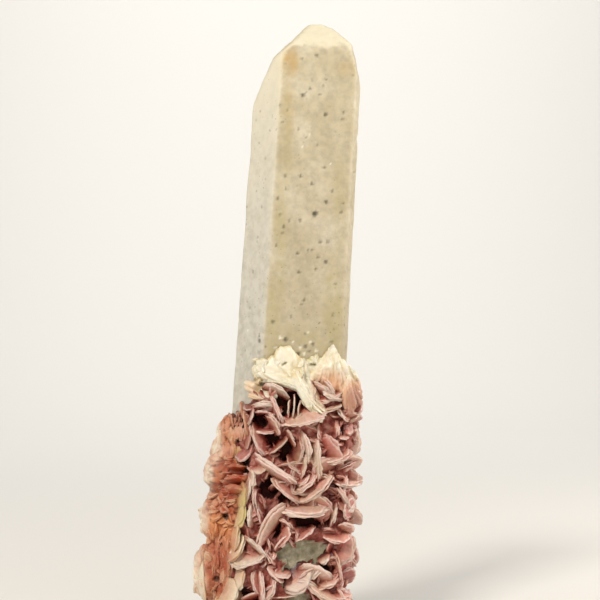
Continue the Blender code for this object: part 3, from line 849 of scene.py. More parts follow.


# %% [markdown]
# ## The rose blades of the front
# The front is what a collector looks at, so its blades are listed one after the other. Each stands
# on the prism like a wall, so a row says where the middle of its outer rim lies, how long and in what
# direction that rim runs, which of its faces is turned towards the viewer and by how much, its tone, how
# many plates thick it is, and how far the rim stands off the prism. Lower walls then cross them at random,
# deeper in the crust, as the first generation of crystals does on the real thing, and hollows are kept open
# between them.

# %% Front blades
# x, height, half length, roll, face (0 edge-on, above 0 turned up, below 0 turned down), tone (0 maroon,
# 0.2 rose, 0.45 mauve, 0.6 salmon, 0.8 pinkish white, 1 cream), plates, how far out
FRONT_BLADES = [
    (-3.2, 60.0, 2.9, 0, -15, 0.92, 4, 5.2),
    (0.2, 58.8, 3.9, -65, -20, 0.45, 3, 5.1),
    (-5.9, 56.6, 2.3, -109, -11, 0.22, 2, 4.7),
    (-3.4, 58.2, 2.0, -7, -16, 0.3, 2, 4.7),
    (-0.2, 55.6, 3.1, -58, -24, 0.52, 3, 5.1),
    (-2.9, 52.5, 2.8, -5, 19, 0.4, 2, 4.6),
    (-5.5, 50.8, 4.6, -66, 30, 0.36, 3, 5.5),
    (0.8, 48.9, 3.2, 42, 23, 0.25, 2, 4.2),
    (6.4, 47.5, 4.9, -102, -46, 0.1, 2, 4),
    (3.5, 43.9, 3.0, -45, 36, 0.22, 2, 3.8),
    (6.8, 55.0, 6.1, 17, 38, 0.62, 2, 5.5),
    (2.6, 58.5, 2.8, -95, 9, 0.95, 1, 4.2),
    (3.9, 59.0, 3.3, -94, 9, 0.95, 1, 4.3),
    (5.0, 58.2, 2.5, -99, 10, 0.7, 1, 3.8),
    (10.5, 46.1, 5.4, -86, -30, 0.84, 3, 5.3),
    (7.9, 49.1, 4.2, -80, -26, 0.78, 3, 5),
    (7.2, 44.5, 4.0, -99, -28, 0.62, 2, 4.4),
    (13.1, 60.5, 3.4, 17, 20, 0.5, 3, 5),
    (13.2, 57.9, 3.2, 16, 19, 0.5, 3, 5.3),
    (18.5, 60.9, 3.0, -68, -40, 0.5, 3, 4.2),
    (15.6, 56.8, 2.5, -53, 16, 0.6, 3, 5),
    (20.0, 52.4, 5.0, -103, -56, 0.36, 2, 4.4),
    (15.2, 53.4, 2.6, -87, -29, 0.7, 3, 4.5),
    (9.9, 52.4, 2.7, -79, 32, 0.4, 2, 3.6),
    (16.0, 51.1, 1.7, -13, 11, 0.85, 2, 4.8),
    (14.9, 49.4, 1.3, -17, 12, 0.75, 2, 4.5),
    (14.6, 44.9, 3.8, 9, 34, 0.66, 4, 5.2),
    (-0.2, 44.2, 6.1, -32, -22, 0.66, 4, 5.6),
    (-4.4, 43.0, 3.0, 9, 35, 0.62, 2, 4.6),
    (1.5, 38.2, 4.7, -48, 29, 0.42, 2, 5),
    (7.5, 39.5, 3.3, 37, 23, 0.66, 3, 5),
    (6.8, 40.6, 2.3, 36, 21, 0.6, 2, 4.2),
    (10.1, 37.8, 5.6, 36, 29, 0.6, 3, 5.5),
    (6.6, 33.0, 6.2, 0, 18, 0.74, 4, 5.7),
    (11.2, 34.9, 2.7, -37, -30, 0.08, 2, 4),
    (14.4, 32.2, 3.2, 72, 17, 0.85, 3, 5.4),
    (16.5, 33.9, 2.7, -98, 23, 0.35, 2, 4.8),
    (19.5, 34.2, 4.5, -92, -50, 0.97, 2, 4.4),
    (-2.8, 30.9, 6.0, 59, -26, 0.62, 4, 5.7),
    (2.6, 27.4, 3.1, -113, -28, 0.38, 2, 4.7),
    (2.4, 31.0, 2.2, -36, -14, 0.42, 2, 4.6),
    (7.1, 27.4, 3.0, 33, 24, 0.46, 2, 4.7),
    (13.9, 25.9, 3.3, -11, 26, 0.5, 3, 5.3),
    (16.9, 30.4, 2.3, -9, -29, 0.5, 3, 5.1),
    (-4.8, 25.5, 3.8, -41, -15, 0.88, 3, 5.3),
    (-4.5, 21.8, 2.7, 28, 18, 0.8, 2, 5),
    (-7.4, 20.1, 4.0, 9, 46, 0.9, 3, 5),
    (-1.1, 18.0, 2.7, -49, 21, 0.66, 2, 4.7),
    (0.9, 18.0, 2.5, -11, 20, 0.7, 2, 4.3),
    (6.9, 18.9, 3.0, 33, -25, 0.45, 2, 4.5),
    (9.5, 17.8, 2.3, 34, 24, 1, 3, 5.1),
    (11.9, 21.2, 1.7, 27, 18, 0.86, 3, 5),
    (12.5, 15.1, 3.6, 18, 30, 0.6, 3, 4.8),
    (10.0, 12.9, 5.2, -37, 24, 0.62, 4, 5.4),
    (15.6, 20.1, 4.2, -80, -36, 0.45, 2, 5),
    (17.8, 17.9, 5.4, -83, -46, 0.5, 2, 4.6),
    (16.2, 12.1, 3.0, -73, -20, 0.5, 3, 5.1),
    (-6.2, 16.4, 2.9, -78, 33, 0.36, 3, 5),
    (-3.4, 14.9, 4.9, -87, -18, 0.66, 3, 4.9),
    (1.9, 12.6, 4.5, 5, 17, 0.3, 1, 3.6),
    (0.4, 64.2, 3.8, -23, -33, 1.0, 2, 4.6),
    (-6.2, 38.8, 3.8, -99, -26, 0.94, 2, 4.8),
    (-4.4, 32.5, 2.5, -79, 23, 0.3, 2, 4.4),
    (12.5, 41.8, 1.6, -29, -18, 0.45, 3, 4.9),
    (19.4, 42.5, 2.4, -58, -45, 0.7, 2, 4.6),
    (14.9, 11.8, 3.3, -13, 22, 0.45, 3, 5.2),
    (0.6, 9.8, 3.0, 5, 29, 0.7, 3, 5),
    (10.0, 7.6, 3.2, -11, 24, 0.5, 3, 5.2),
    (-4.4, 8.0, 2.2, 27, 22, 0.45, 3, 5.1),
    (-0.4, 5.2, 3.6, 12, 28, 0.4, 3, 5.2),
    (13.5, 4.8, 3.5, 13, 28, 0.42, 3, 5.2),
    (6.4, 3.5, 3.4, 17, 25, 0.5, 3, 5),
    (17.5, 6.0, 4.0, -85, -45, 0.4, 2, 4.6),
    (-6.4, 3.0, 2.7, -68, 26, 0.36, 3, 4.8),
    (-5.6, 41.4, 2.6, -98, -24, 0.96, 3, 4.8),
    (-5.9, 36.6, 3.0, -84, 24, 0.2, 3, 5.0),
    (-4.6, 34.4, 2.4, -70, 30, 0.1, 2, 4.0),
    (-7.0, 32.6, 3.2, -92, 26, 0.96, 3, 4.8),
    (0.4, 26.6, 3.0, -130, 24, 0.62, 2, 4.0),
    (-1.0, 14.2, 3.2, 64, 26, 0.6, 3, 4.6),
    (-2.0, 22.0, 2.4, -54, 20, 0.3, 2, 4.0),
    (8.8, 45.2, 2.2, -60, 34, 0.4, 2, 3.8),
    (17.4, 46.8, 3.2, 10, -36, 0.7, 3, 4.6),
    (17.0, 38.6, 3.0, 62, 34, 0.66, 3, 4.9),
    (3.6, 52.0, 2.6, -60, -24, 0.15, 2, 3.6),
    (4.4, 43.2, 2.8, 80, 30, 0.2, 2, 3.6),
    (-3.6, 47.6, 2.2, 30, -26, 0.2, 2, 3.8),
    (0.2, 40.8, 2.4, 20, -30, 0.15, 2, 3.6),
]
FOOT_DEPTH = 0.4  # how far a blade's inner rim would reach into the prism
SEED = 11
# Gaps where the prism shows between the blades: x, height, half width, half height
WINDOWS = [(6.4, 23.2, 6.2, 2.5), (3.9, 17.6, 2.6, 3.4), (4.6, 11.6, 2.4, 1.8)]
# Hollows between the blades, where one looks down to the floor, painted nearly black there as shade: x,
# height, half width, half height
HOLLOWS = [
    (-3.9, 55.8, 1.5, 1.8), (-2.1, 51.0, 2.5, 1.5), (3.1, 48.2, 2.8, 2.5), (-2.1, 39.0, 2.0, 2.0),
    (1.9, 36.5, 1.2, 1.2), (-0.1, 41.8, 1.2, 0.8), (6.9, 30.8, 4.8, 1.0), (-0.4, 29.5, 1.0, 2.0),
    (3.1, 59.5, 3.2, 2.8), (15.4, 53.2, 0.8, 1.2), (12.9, 49.8, 1.5, 0.8), (9.4, 63.0, 0.8, 1.0),
    (11.4, 19.2, 1.2, 0.8), (-5.6, 11.8, 1.2, 2.2), (6.6, 58.5, 2.0, 1.8),
]
FOLLOWERS = 2  # lower blades that cross each blade
FOLLOWER_OUT = (2.2, 3.8)
FOLLOWER_EDGES = (-6.8, 17.5)
CALM_PART = 12.0  # right of this x the blades are broader and have fewer others between them
FOLLOWER_REACH = 0.8  # how far from the blade it may stand, as a share of the blade's half length
FOLLOWER_CROSSING = (25, 90)
FOLLOWER_FACE = (8, 38)
# How much darker a lower blade's tone is than its blade's: painted shade of its deeper place
FOLLOWER_SHADE_DARKER = (0.1, 0.4)
FOLLOWER_PALEST = 0.6
FOLLOWER_SHARE = (0.5, 0.85)
SMALL_BLADES = 70
SMALL_SIZE = (1.3, 2.5)
SMALL_OUT = (0.8, 2.2)
SMALL_FACE = (5, 60)
SMALL_WIDTH = (0.6, 0.9)
SMALL_TONES = (0.1, 0.25, 0.35, 0.45, 0.55, 0.7)
SMALL_HEIGHTS = (1.5, 62)
ANY_ROLL = (0, 180)
FRONT_EDGES = (-6.5, 19.0)
WINDOW_MARGIN = 1.0
HOLLOW_MARGIN = 0.6


def in_any(rows, x, height, margin):
    """Whether this spot of the front lies in one of these ovals, grown by a margin."""
    near = []
    for middle_x, middle_height, half_width, half_height in rows:
        across = (x - middle_x) / (half_width + margin)
        near.append(across**2 + ((height - middle_height) / (half_height + margin)) ** 2)
    return min(near) < 1


def kept_open(x, height):
    """Whether no small blade may stand here."""
    return in_any(WINDOWS, x, height, WINDOW_MARGIN) or in_any(HOLLOWS, x, height, HOLLOW_MARGIN)


def wall(x, height, size, roll, face, tone, leaves, out, draw, segments=30, rings=COARSE_RINGS):
    """A blade that stands on the front of the prism, with the middle of its outer rim at this place."""
    axes = blade_axes(0, roll, face)
    half_width = (out + FOOT_DEPTH) / 2 / math.cos(math.radians(face))
    place = front_point(x, height, out) - axes[1] * half_width
    return book(place, axes, size, half_width / size, tone, draw, leaves, segments, rings)


def small_blades(draw, count, pick_place):
    """Small blades at random places that pick_place gives, as (place, azimuth)."""
    plates = []
    for _ in range(count):
        place, azimuth = pick_place(draw)
        axes = blade_axes(azimuth, draw.uniform(*ANY_ROLL), draw.uniform(*SMALL_FACE))
        size = draw.uniform(*SMALL_SIZE)
        tone = draw.choice(SMALL_TONES)
        plates += book(place, axes, size, draw.uniform(*SMALL_WIDTH), tone, draw, leaves=2, segments=20)
    return plates


def front_spot(draw):
    """A random place on the front of the crust, outside the gaps."""
    while True:
        x = draw.uniform(*FRONT_EDGES)
        height = draw.uniform(*SMALL_HEIGHTS)
        if not kept_open(x, height):
            return front_point(x, height, draw.uniform(*SMALL_OUT)), 0


def follower(row, draw):
    """A lower blade that crosses this one or grew beside it, deeper in the crust."""
    x, height, size, roll, _, tone, *_ = row
    while True:
        near_x = held(x + shaken(draw, 1) * size * FOLLOWER_REACH, *FOLLOWER_EDGES)
        near_height = height + shaken(draw, 1) * size * FOLLOWER_REACH
        if not kept_open(near_x, near_height):
            break
    crossing = roll + draw.choice((-1, 1)) * draw.uniform(*FOLLOWER_CROSSING)
    face = draw.choice((-1, 1)) * draw.uniform(*FOLLOWER_FACE)
    # Painted shade: the deeper blade gets a darker tone
    shade = held(tone - draw.uniform(*FOLLOWER_SHADE_DARKER), 0, FOLLOWER_PALEST)
    length = size * draw.uniform(*FOLLOWER_SHARE)
    return wall(near_x, near_height, length, crossing, face, shade, 2, draw.uniform(*FOLLOWER_OUT), draw)


draw = random.Random(SEED)
front_plates, follower_plates = [], []
for row in FRONT_BLADES:
    front_plates += wall(*row, draw, segments=46, rings=FINE_RINGS)
    for _ in range(FOLLOWERS - (row[0] > CALM_PART)):
        follower_plates += follower(row, draw)
front_blades = plate_piece("rose_blades_front", front_plates)
follower_blades = plate_piece("rose_blades_between", follower_plates)
small_front = plate_piece("small_rose_blades_front", small_blades(draw, SMALL_BLADES, front_spot))

# %% [markdown]
# ## The rose blades of the sides and the back
# The photograph doesn't show these sides, and a crust like this wraps the whole prism, so its blades follow
# a rule: they stand in rows, each shaken out of line by a seeded random draw. The solids were made from the
# same draws.

# %% Side and back blades
SIDE_SPAN = (50, 248)
SIDE_SPACING = 7.5
SIDE_SIZE = (4.4, 5.6)
SIDE_OUT = 1.7
BLADE_WIDTH = 0.74  # half width as a share of the half length
SIDE_MIDDLE = 150  # the azimuth that parts the right side from the back
SIDE_FACE = (15, 52)
SIDE_TONES = (0.2, 0.3, 0.4, 0.5, 0.6, 0.7, 0.8)
SIDE_SHAKE = (4, 1.5)  # degrees round the prism and millimetres up that a blade is shaken out of line
FIRST_ROW = 0.35  # height of the lowest row, as a share of the spacing
SIDE_FOLLOWERS = 2
BESIDE_SPREAD = (20, 4)
BESIDE_OUT = (1.6, 3.0)
BESIDE_CROSSING = 90
BESIDE_FACE = (10, 60)
BESIDE_SHARE = (0.5, 0.8)
BESIDE_WIDTH = 0.85
SMALL_SIDE_BLADES = 240
SMALL_SIDE_SPAN = (48, 262)
SMALL_SIDE_TOP = 3  # how far below the crust's top the small blades stay


def side_rows():
    """The blades of the sides and the back: azimuth, height, half length, roll and face of each."""
    draw = random.Random(SEED)
    turn = 360 * SIDE_SPACING / (2 * math.pi * prism_reach(90, 0))
    rows = []
    for level in range(int(CRUST_HEIGHTS[0][1] / SIDE_SPACING) + 1):
        azimuth = SIDE_SPAN[0] + turn / 2 * (level % 2)
        while azimuth < SIDE_SPAN[1]:
            around = azimuth + shaken(draw, SIDE_SHAKE[0])
            height = SIDE_SPACING * (level + FIRST_ROW) + shaken(draw, SIDE_SHAKE[1])
            size = draw.uniform(*SIDE_SIZE)
            row = (around, height, size, draw.uniform(*ANY_ROLL), draw.uniform(*SIDE_FACE))
            if height + size / 2 < crust_height(azimuth):
                rows.append(row)
            azimuth += turn
    return rows


def side_spot(draw):
    """A random place on the sides or the back of the crust."""
    azimuth = draw.uniform(*SMALL_SIDE_SPAN)
    height = draw.uniform(SMALL_HEIGHTS[0], crust_height(azimuth) - SMALL_SIDE_TOP)
    return skin_point(azimuth, height, draw.uniform(*SMALL_OUT)), azimuth


def side_follower(azimuth, height, size, roll, tone, draw):
    """A lower blade that grew beside one of the sides' large blades, or across it."""
    around = azimuth + shaken(draw, BESIDE_SPREAD[0])
    level = height + shaken(draw, BESIDE_SPREAD[1])
    place = skin_point(around, level, draw.uniform(*BESIDE_OUT))
    axes = blade_axes(azimuth, roll + shaken(draw, BESIDE_CROSSING), draw.uniform(*BESIDE_FACE))
    return book(place, axes, size * draw.uniform(*BESIDE_SHARE), BESIDE_WIDTH, tone, draw)


draw = random.Random(SEED + 3)
right_plates, back_plates = [], []
for azimuth, height, size, roll, face in side_rows():
    place = skin_point(azimuth, height, SIDE_OUT)
    tone = draw.choice(SIDE_TONES)
    made = book(place, blade_axes(azimuth, roll, face), size, BLADE_WIDTH, tone, draw, segments=36)
    for _ in range(SIDE_FOLLOWERS):
        made += side_follower(azimuth, height, size, roll, tone, draw)
    (right_plates if azimuth < SIDE_MIDDLE else back_plates).extend(made)
right_blades = plate_piece("rose_blades_right", right_plates)
back_blades = plate_piece("rose_blades_back", back_plates)
small_sides = plate_piece("small_rose_blades_sides", small_blades(draw, SMALL_SIDE_BLADES, side_spot))

# %% [markdown]
# ## The floor of the crust
# Between the blades one looks down on what they grew from: a dark, lumpy layer of tiny crystals on the
# quartz, the colour of dried blood and olive. It is a thin shell, whose outer net is displaced by noise at
# two sizes. In the gaps of the front, where the prism shows, it is only a film of grey-green quartz grains.
# Under the hollows between the blades its colour is painted nearly black, as the shade down there.

# %% Crust floor
FLOOR_THICKNESS = 2.3
HOLLOW_THICKNESS = 0.9
HOLLOW_SPACING = 5.0  # between the hollows of the sides and the back
HOLLOW_SHARE = 0.22  # a higher value leaves fewer of them
FLOOR_LUMPS = 0.6
LUMP_SPACING = 7.0
FLOOR_SIDES = 200
FLOOR_STEPS = 130
GRAIN_SIZE = 1.1
GRAIN_HEIGHT = 0.6
FLOOR_TOP_FADE = 5.0
GAP_THICKNESS = 0.5
GAP_CALM = 0.5  # the share of the grain that is left in the gaps
UNDER_SKIN = -1.0
LEAST_THICKNESS = 0.1
FLOOR_REACH = 14  # about how far the crust reaches from the axis
FLOOR_MARGIN = 0.4  # how much larger the gaps and the hollows are in the floor's shape
TINT_MARGIN = 0.5  # and in its colour


def lumps(azimuth, height):
    """How much thicker or thinner the crust's floor is here."""
    spot = heading(azimuth) * FLOOR_REACH + Vector((0, 0, height))
    return noise.noise(spot / LUMP_SPACING) * 2 * FLOOR_LUMPS


def in_hollow(skin, margin):
    """Whether this spot of the skin lies under a hollow between the blades."""
    if skin.y < 0 and FRONT_EDGES[0] < skin.x < FRONT_EDGES[1]:
        return in_any(HOLLOWS, skin.x, skin.z, margin)
    return noise.noise(skin / HOLLOW_SPACING) > HOLLOW_SHARE


def floor_ring(azimuths, level):
    """One ring of the floor's outer net, at this share of the crust's height."""
    ring = []
    for azimuth in azimuths:
        height = crust_height(azimuth) * level
        skin = skin_point(azimuth, height)
        thinning = min(1, (1 - level) * crust_height(azimuth) / FLOOR_TOP_FADE)
        grain = noise.fractal(skin / GRAIN_SIZE, 1.0, 2.0, 3) * GRAIN_HEIGHT
        thickness = FLOOR_THICKNESS + lumps(azimuth, height)
        if skin.y < 0 and in_any(WINDOWS, skin.x, height, FLOOR_MARGIN + grain):
            thickness = GAP_THICKNESS
            grain *= GAP_CALM
        elif in_hollow(skin, FLOOR_MARGIN + grain):
            thickness = HOLLOW_THICKNESS
        ring.append(skin + heading(azimuth) * max(LEAST_THICKNESS, (thickness + grain) * thinning))
    return ring


def inner_ring(azimuths, level):
    """One ring out of sight, just under the prism's skin, which closes the floor."""
    return [skin_point(azimuth, crust_height(azimuth) * level, UNDER_SKIN) for azimuth in azimuths]


azimuths = np.arange(FLOOR_SIDES) * 360 / FLOOR_SIDES
rings = [floor_ring(azimuths, level) for level in np.linspace(0, 1, FLOOR_STEPS)]
rings += [inner_ring(azimuths, 1), inner_ring(azimuths, 0)]
points = np.array([spot for ring in rings for spot in ring])
faces = []
for ring in range(len(rings)):
    low, high = ring * FLOOR_SIDES, (ring + 1) % len(rings) * FLOOR_SIDES
    for side in range(FLOOR_SIDES):
        after = (side + 1) % FLOOR_SIDES
        faces.append((low + side, low + after, high + after, high + side))
floor_of_crust = bpy.data.meshes.new("crust_floor")
floor_of_crust.from_pydata(points.tolist(), [], faces)
crust_floor = make_piece("crust_floor", floor_of_crust)
store(crust_floor, "height_off_prism", np.clip(outside_prism(points)[0] / DEEP, 0, 1))
in_gap = [y < 0 and in_any(WINDOWS, x, height, TINT_MARGIN) for x, y, height in points.tolist()]
store(crust_floor, "gap", in_gap)
# Where this is set, the material paints the floor nearly black as shade
store(crust_floor, "hollow", [in_hollow(Vector(spot), TINT_MARGIN) for spot in points.tolist()])
print("crust floor:", len(faces), "faces")

# %% [markdown]
# ## The iron-stained crust of the left flank
# On the left the blades grew so close that they fused into rounded lobes, and iron stained them from cream
# to rust. The lobes and a low layer between them are merged by a voxel remesh, which also rounds the
# joints, and are then roughened by noise. The prism and the ground are cut away with Booleans. Books of
# longer, narrower plates stand on top of it.

# %% Stained lobes
# x, y, height and the three half sizes
RUST_LOBES = [
    (-11.6, -2.6, 52.4, 3.2, 3.4, 4.2), (-13.0, 2.0, 47.4, 3.6, 3.8, 5.0), (-14.2, -2.4, 42.2, 3.8, 4.0, 5.0),
    (-12.8, 3.4, 37.6, 4.0, 4.4, 5.4), (-15.0, -1.2, 30.2, 4.4, 4.6, 6.0), (-13.0, 4.4, 25.6, 4.4, 4.2, 5.6),
    (-16.2, -0.6, 17.6, 5.0, 5.0, 7.6), (-13.4, 4.6, 12.4, 5.2, 4.6, 6.4), (-14.8, -1.4, 4.6, 5.4, 5.8, 6.4),
    (-9.6, -5.6, 25.4, 3.6, 3.2, 5.0), (-9.0, -5.4, 46.0, 3.2, 3.0, 5.4),
]
RUST_THICKNESS = 4.0
RUST_SPAN = (250, 322)
RUST_TOP = 58.0
RUST_FADE = 16
RUST_RISE = 14.0
RUST_BLUNT = 3  # how much higher the layer would end if it closed to nothing
RUST_UNDER_SKIN = -1.5
RUST_SIDES = 56
RUST_STEPS = 30
BELOW = 2.0
RUST_VOXEL = 0.36
RUST_WAVES = ((5.0, 0.8), (1.9, 0.4), (0.8, 0.15))
# Where the skin is folded: the folds' size along x, y and height, and the zones as x, height, half sizes,
# strength
UPRIGHT_ZONES = [(-10.0, 53.0, 5.0, 6.0, 1.0), (-13.6, 21.0, 6.0, 6.5, 1.0), (-12.0, 8.0, 7.0, 5.0, 0.7)]
FOLDED_ZONES = [
    ((1.3, 1.3, 4.5), UPRIGHT_ZONES),
    ((4.0, 4.0, 1.2), [(-11.6, 42.5, 5.5, 5.0, 1.0)]),
    ((2.0, 2.0, 2.0), [(-13.0, 33.0, 5.0, 4.0, 1.0)]),
]
CREASE_SHARPNESS = 5
FURROW_DEPTH = 0.9
# Pits of the stained crust, sunk and darkened with painted shade: x, height, radius
RUST_PITS = [
    (-9.6, 50.2, 0.8), (-8.4, 46.2, 1.2), (-7.4, 44.6, 0.8), (-12.6, 31.8, 0.9), (-15.0, 16.2, 1.0)
]


def rust_thickness(azimuth, height):
    """The low layer's thickness, which falls to nothing at its top and at the two ends of its span."""
    start, end = RUST_SPAN
    inside = held(min(azimuth - start, end - azimuth) / RUST_FADE, -1, 1)
    rise = min(1, (RUST_TOP + RUST_BLUNT - height) / RUST_RISE)
    return inside * rise * RUST_THICKNESS + max(0, inside) * lumps(azimuth, height)


def low_layer(bm):
    """Adds the closed form round the prism that the stained lobes stand on."""
    rings = []
    for step in range(RUST_STEPS + 1):
        ring = []
        for side in range(RUST_SIDES):
            azimuth = side * 360 / RUST_SIDES
            height = RUST_TOP * step / RUST_STEPS
            out = rust_thickness(azimuth, height) if step < RUST_STEPS else RUST_UNDER_SKIN
            ring.append(bm.verts.new(skin_point(azimuth, height if step else -BELOW, out)))
        rings.append(ring)
    for lower, upper in zip(rings, rings[1:]):
        for side in range(RUST_SIDES):
            after = (side + 1) % RUST_SIDES
            bm.faces.new((lower[side], lower[after], upper[after], upper[side]))
    bm.faces.new(rings[0][::-1])
    bm.faces.new(rings[-1])


def lobe(bm, place, half_sizes):
    """Adds one rounded lobe."""
    sizes = Matrix.Diagonal(half_sizes).to_4x4()
    bmesh.ops.create_icosphere(bm, subdivisions=4, radius=1, matrix=Matrix.Translation(place) @ sizes)


def piece_from(name, bm):
    """A piece from a bmesh, which is used up."""
    bmesh.ops.recalc_face_normals(bm, faces=bm.faces)
    mesh = bpy.data.meshes.new(name)
    bm.to_mesh(mesh)
    bm.free()
    return make_piece(name, mesh)


def roughen(piece, waves):
    """Moves a piece's skin in and out by noise, at each size and reach listed."""
    points = points_of(piece)
    shift = sum(swell(points, size) * reach for size, reach in waves)
    set_points(piece, points + normals_of(piece) * shift[:, None])


def creases(points, rows):
    """Sharp narrow furrows, as between thin plates pressed together, from 0 to about 1."""
    depth = np.zeros(len(points))
    for stretch, zones in rows:
        places = (points / np.array(stretch)).tolist()
        sharp = 1 - np.abs([noise.noise(place) for place in places]) * CREASE_SHARPNESS
        depth = np.maximum(depth, np.clip(sharp, 0, 1) * patches(points, zones))
    return depth


def cut_away(piece, cutter):
    """Cuts another closed form out of a piece, and removes it."""
    boolean = piece.modifiers.new("Cut", "BOOLEAN")
    boolean.operation = "DIFFERENCE"
    boolean.solver = "MANIFOLD"
    boolean.object = cutter
    apply_modifiers(piece)
    bpy.data.objects.remove(cutter)


def cut_prism_away(piece):
    """Cuts the prism, a little grown, out of a piece."""
    cut_away(piece, piece_from("grown_prism", cut_block(quartz_planes(CLEARANCE))))


def ground_block():
    """A block whose upper face is the ground."""
    bm = bmesh.new()
    bmesh.ops.create_cube(bm, size=BLOCK_SIZE)
    bmesh.ops.translate(bm, verts=bm.verts, vec=(0, 0, -BLOCK_SIZE / 2))
    return piece_from("ground_block", bm)


def drop_crumbs(piece):
    """Keeps the largest body of a piece, because cutting may leave crumbs."""
    bm = bmesh.new()
    bm.from_mesh(piece.data)
    unseen = set(bm.verts)
    bodies = []
    while unseen:
        edge_of_body = [unseen.pop()]
        body = set(edge_of_body)
        while edge_of_body:
            near = {vert for edge in edge_of_body.pop().link_edges for vert in edge.verts} & unseen
            unseen -= near
            body |= near
            edge_of_body += near
        bodies.append(body)
    largest = max(bodies, key=len)
    crumbs = [vert for body in bodies if body is not largest for vert in body]
    bmesh.ops.delete(bm, geom=crumbs, context="VERTS")
    bm.to_mesh(piece.data)
    bm.free()


bm = bmesh.new()
low_layer(bm)
for x, y, height, *half_sizes in RUST_LOBES:
    lobe(bm, (x, y, height), half_sizes)
rust = piece_from("iron_stained_lobes", bm)
remesh(rust, RUST_VOXEL)
roughen(rust, RUST_WAVES)
points = points_of(rust)
furrow = creases(points, FOLDED_ZONES)
set_points(rust, points - normals_of(rust) * (furrow * FURROW_DEPTH)[:, None])
cut_prism_away(rust)
cut_away(rust, ground_block())
drop_crumbs(rust)
print("stained lobes:", len(rust.data.polygons), "faces")

# %% [markdown]
# ## Stained blades and the stains themselves
# The stains are soft blots again: cream on the lobes that stand out furthest, rust in the hollows, peach
# near the top, tan and a greenish yellow on some ribs. The same blots are stored on the lobes and on the
# blades that stand on them, so that a stain runs across both, as it does where water carried the iron.

# %% Stained blades and stains
# x, height, half length, roll, face, tone, plates
RUST_BLADES = [
    (-8.6, 56.1, 3.8, -71, 31, 0.6, 2),
    (-7.4, 55.2, 3.8, -79, 27, 0.6, 2),
    (-10.6, 53.8, 3.8, -82, -31, 0.5, 2),
    (-9.6, 50.0, 2.1, -104, 27, 0.45, 1),
    (-9.8, 45.0, 3.2, -13, -31, 0.2, 2),
    (-9.8, 43.0, 3.7, -8, -31, 0.25, 2),
    (-10.1, 40.5, 3.6, -12, -31, 0.2, 2),
    (-11.6, 38.0, 2.6, -17, -27, 0.2, 2),
    (-15.0, 36.5, 2.6, 35, 27, 0.3, 2),
    (-13.6, 33.8, 2.9, 38, 31, 0.35, 2),
    (-12.2, 31.2, 3.0, 36, 31, 0.5, 2),
    (-15.6, 20.6, 4.9, -96, 27, 0.45, 2),
    (-13.8, 21.2, 5.3, -91, 27, 0.4, 2),
    (-11.6, 20.8, 5.3, -87, -27, 0.4, 2),
    (-17.8, 15.0, 5.0, -86, -31, 0.9, 2),
    (-14.9, 9.4, 3.3, -108, 31, 0.8, 2),
    (-9.9, 6.0, 4.0, -97, 39, 0.7, 2),
]
# Long ribs beside the stained lobes, as in the rows of the front
STAINED_RIBS = [
    (-7.3, 37.6, 3.4, -94, -24, 0.7, 3, 4.7),
    (-8.0, 32.4, 3.6, -104, -20, 0.85, 3, 5.0),
    (-9.3, 27.0, 3.6, -97, -17, 0.85, 3, 4.8),
    (-8.4, 17.6, 3.4, -104, -22, 0.97, 3, 5.2),
    (-10.2, 12.6, 4.0, -118, -34, 0.97, 3, 5.0),
    (-9.4, 42.0, 3.4, -8, -22, 0.2, 3, 5.2),
    (-9.2, 39.6, 3.2, -14, -24, 0.25, 3, 5.2),
    (-9.6, 45.0, 3.0, -4, -22, 0.2, 2, 5.0),
    (-8.2, 54.0, 3.8, -76, 36, 0.8, 2, 4.4),
    (-8.6, 24.0, 3.6, 60, 24, 0.9, 3, 5.0),
]
RUST_BLADE_WIDTH = 1.8
RUST_BLADE_RISE = 0.5  # how far its rim stands out of the lobes
PIT_DEPTH = 1.4
PIT_FLOOR = 0.5  # how much of the crust a pit leaves over the prism
PIT_BACK = 2  # a pit is sunk only where y is less
LOWEST_SPOT = 1
FAR = 80  # where the rays start that find the skin
# The stains: x, height, half width, half height, strength
STAINS = {
    "cream": [
        (-15.4, 50.0, 1.8, 5.4, 1.0),
        (-17.6, 41.6, 1.9, 5.4, 1.0),
        (-18.8, 31.0, 1.9, 5.0, 0.9),
        (-20.4, 15.6, 2.6, 8.4, 1.0),
        (-14.0, 6.0, 7.0, 4.4, 0.8),
        (-9.0, 12.0, 2.4, 5.6, 1.0),
        (-8.2, 26.0, 1.6, 3.0, 0.6),
    ],
    "rust": [
        (-8.6, 53.6, 1.9, 5.0, 0.35),
        (-10.0, 43.2, 3.6, 5.4, 1.0),
        (-12.6, 38.6, 2.8, 3.0, 0.9),
        (-12.6, 33.6, 2.6, 2.4, 0.7),
        (-13.8, 21.6, 2.8, 5.4, 0.8),
        (-14.8, 15.4, 2.8, 2.6, 0.7),
    ],
    "tan": [
        (-14.6, 29.2, 4.4, 3.2, 0.95),
        (-12.4, 25.6, 2.6, 2.6, 0.6),
        (-11.6, 50.6, 1.6, 3.4, 0.4),
    ],
    "peach": [
        (-8.8, 55.4, 2.8, 6.0, 0.85),
        (-12.4, 50.0, 2.0, 4.0, 0.5),
    ],
    "green": [
        (-8.0, 33.0, 1.6, 7.0, 0.8),
        (-9.4, 47.2, 1.4, 2.0, 0.5),
    ],
}


def spot_on(piece, start, way):
    """Where a ray meets a piece, and the azimuth that the skin faces there."""
    met, spot, normal, _ = piece.ray_cast(start, way)
    return (spot, math.degrees(math.atan2(normal.x, -normal.y))) if met else (None, 0)


def spot_from_front(piece, x, height):
    """Where a ray from the front meets a piece, and the azimuth there."""
    return spot_on(piece, Vector((x, -FAR, max(LOWEST_SPOT, height))), Vector((0, 1, 0)))


def pits(points):
    """How deep each point lies in a pit of the stained crust."""
    return patches(points, [(x, height, radius, radius, 1.0) for x, height, radius in RUST_PITS])


def stain(piece):
    """Stores the stains and the pits on a piece of the left flank."""
    points = points_of(piece)
    for name, rows in STAINS.items():
        store(piece, name, patches(points, rows))
    store(piece, "pit", pits(points))


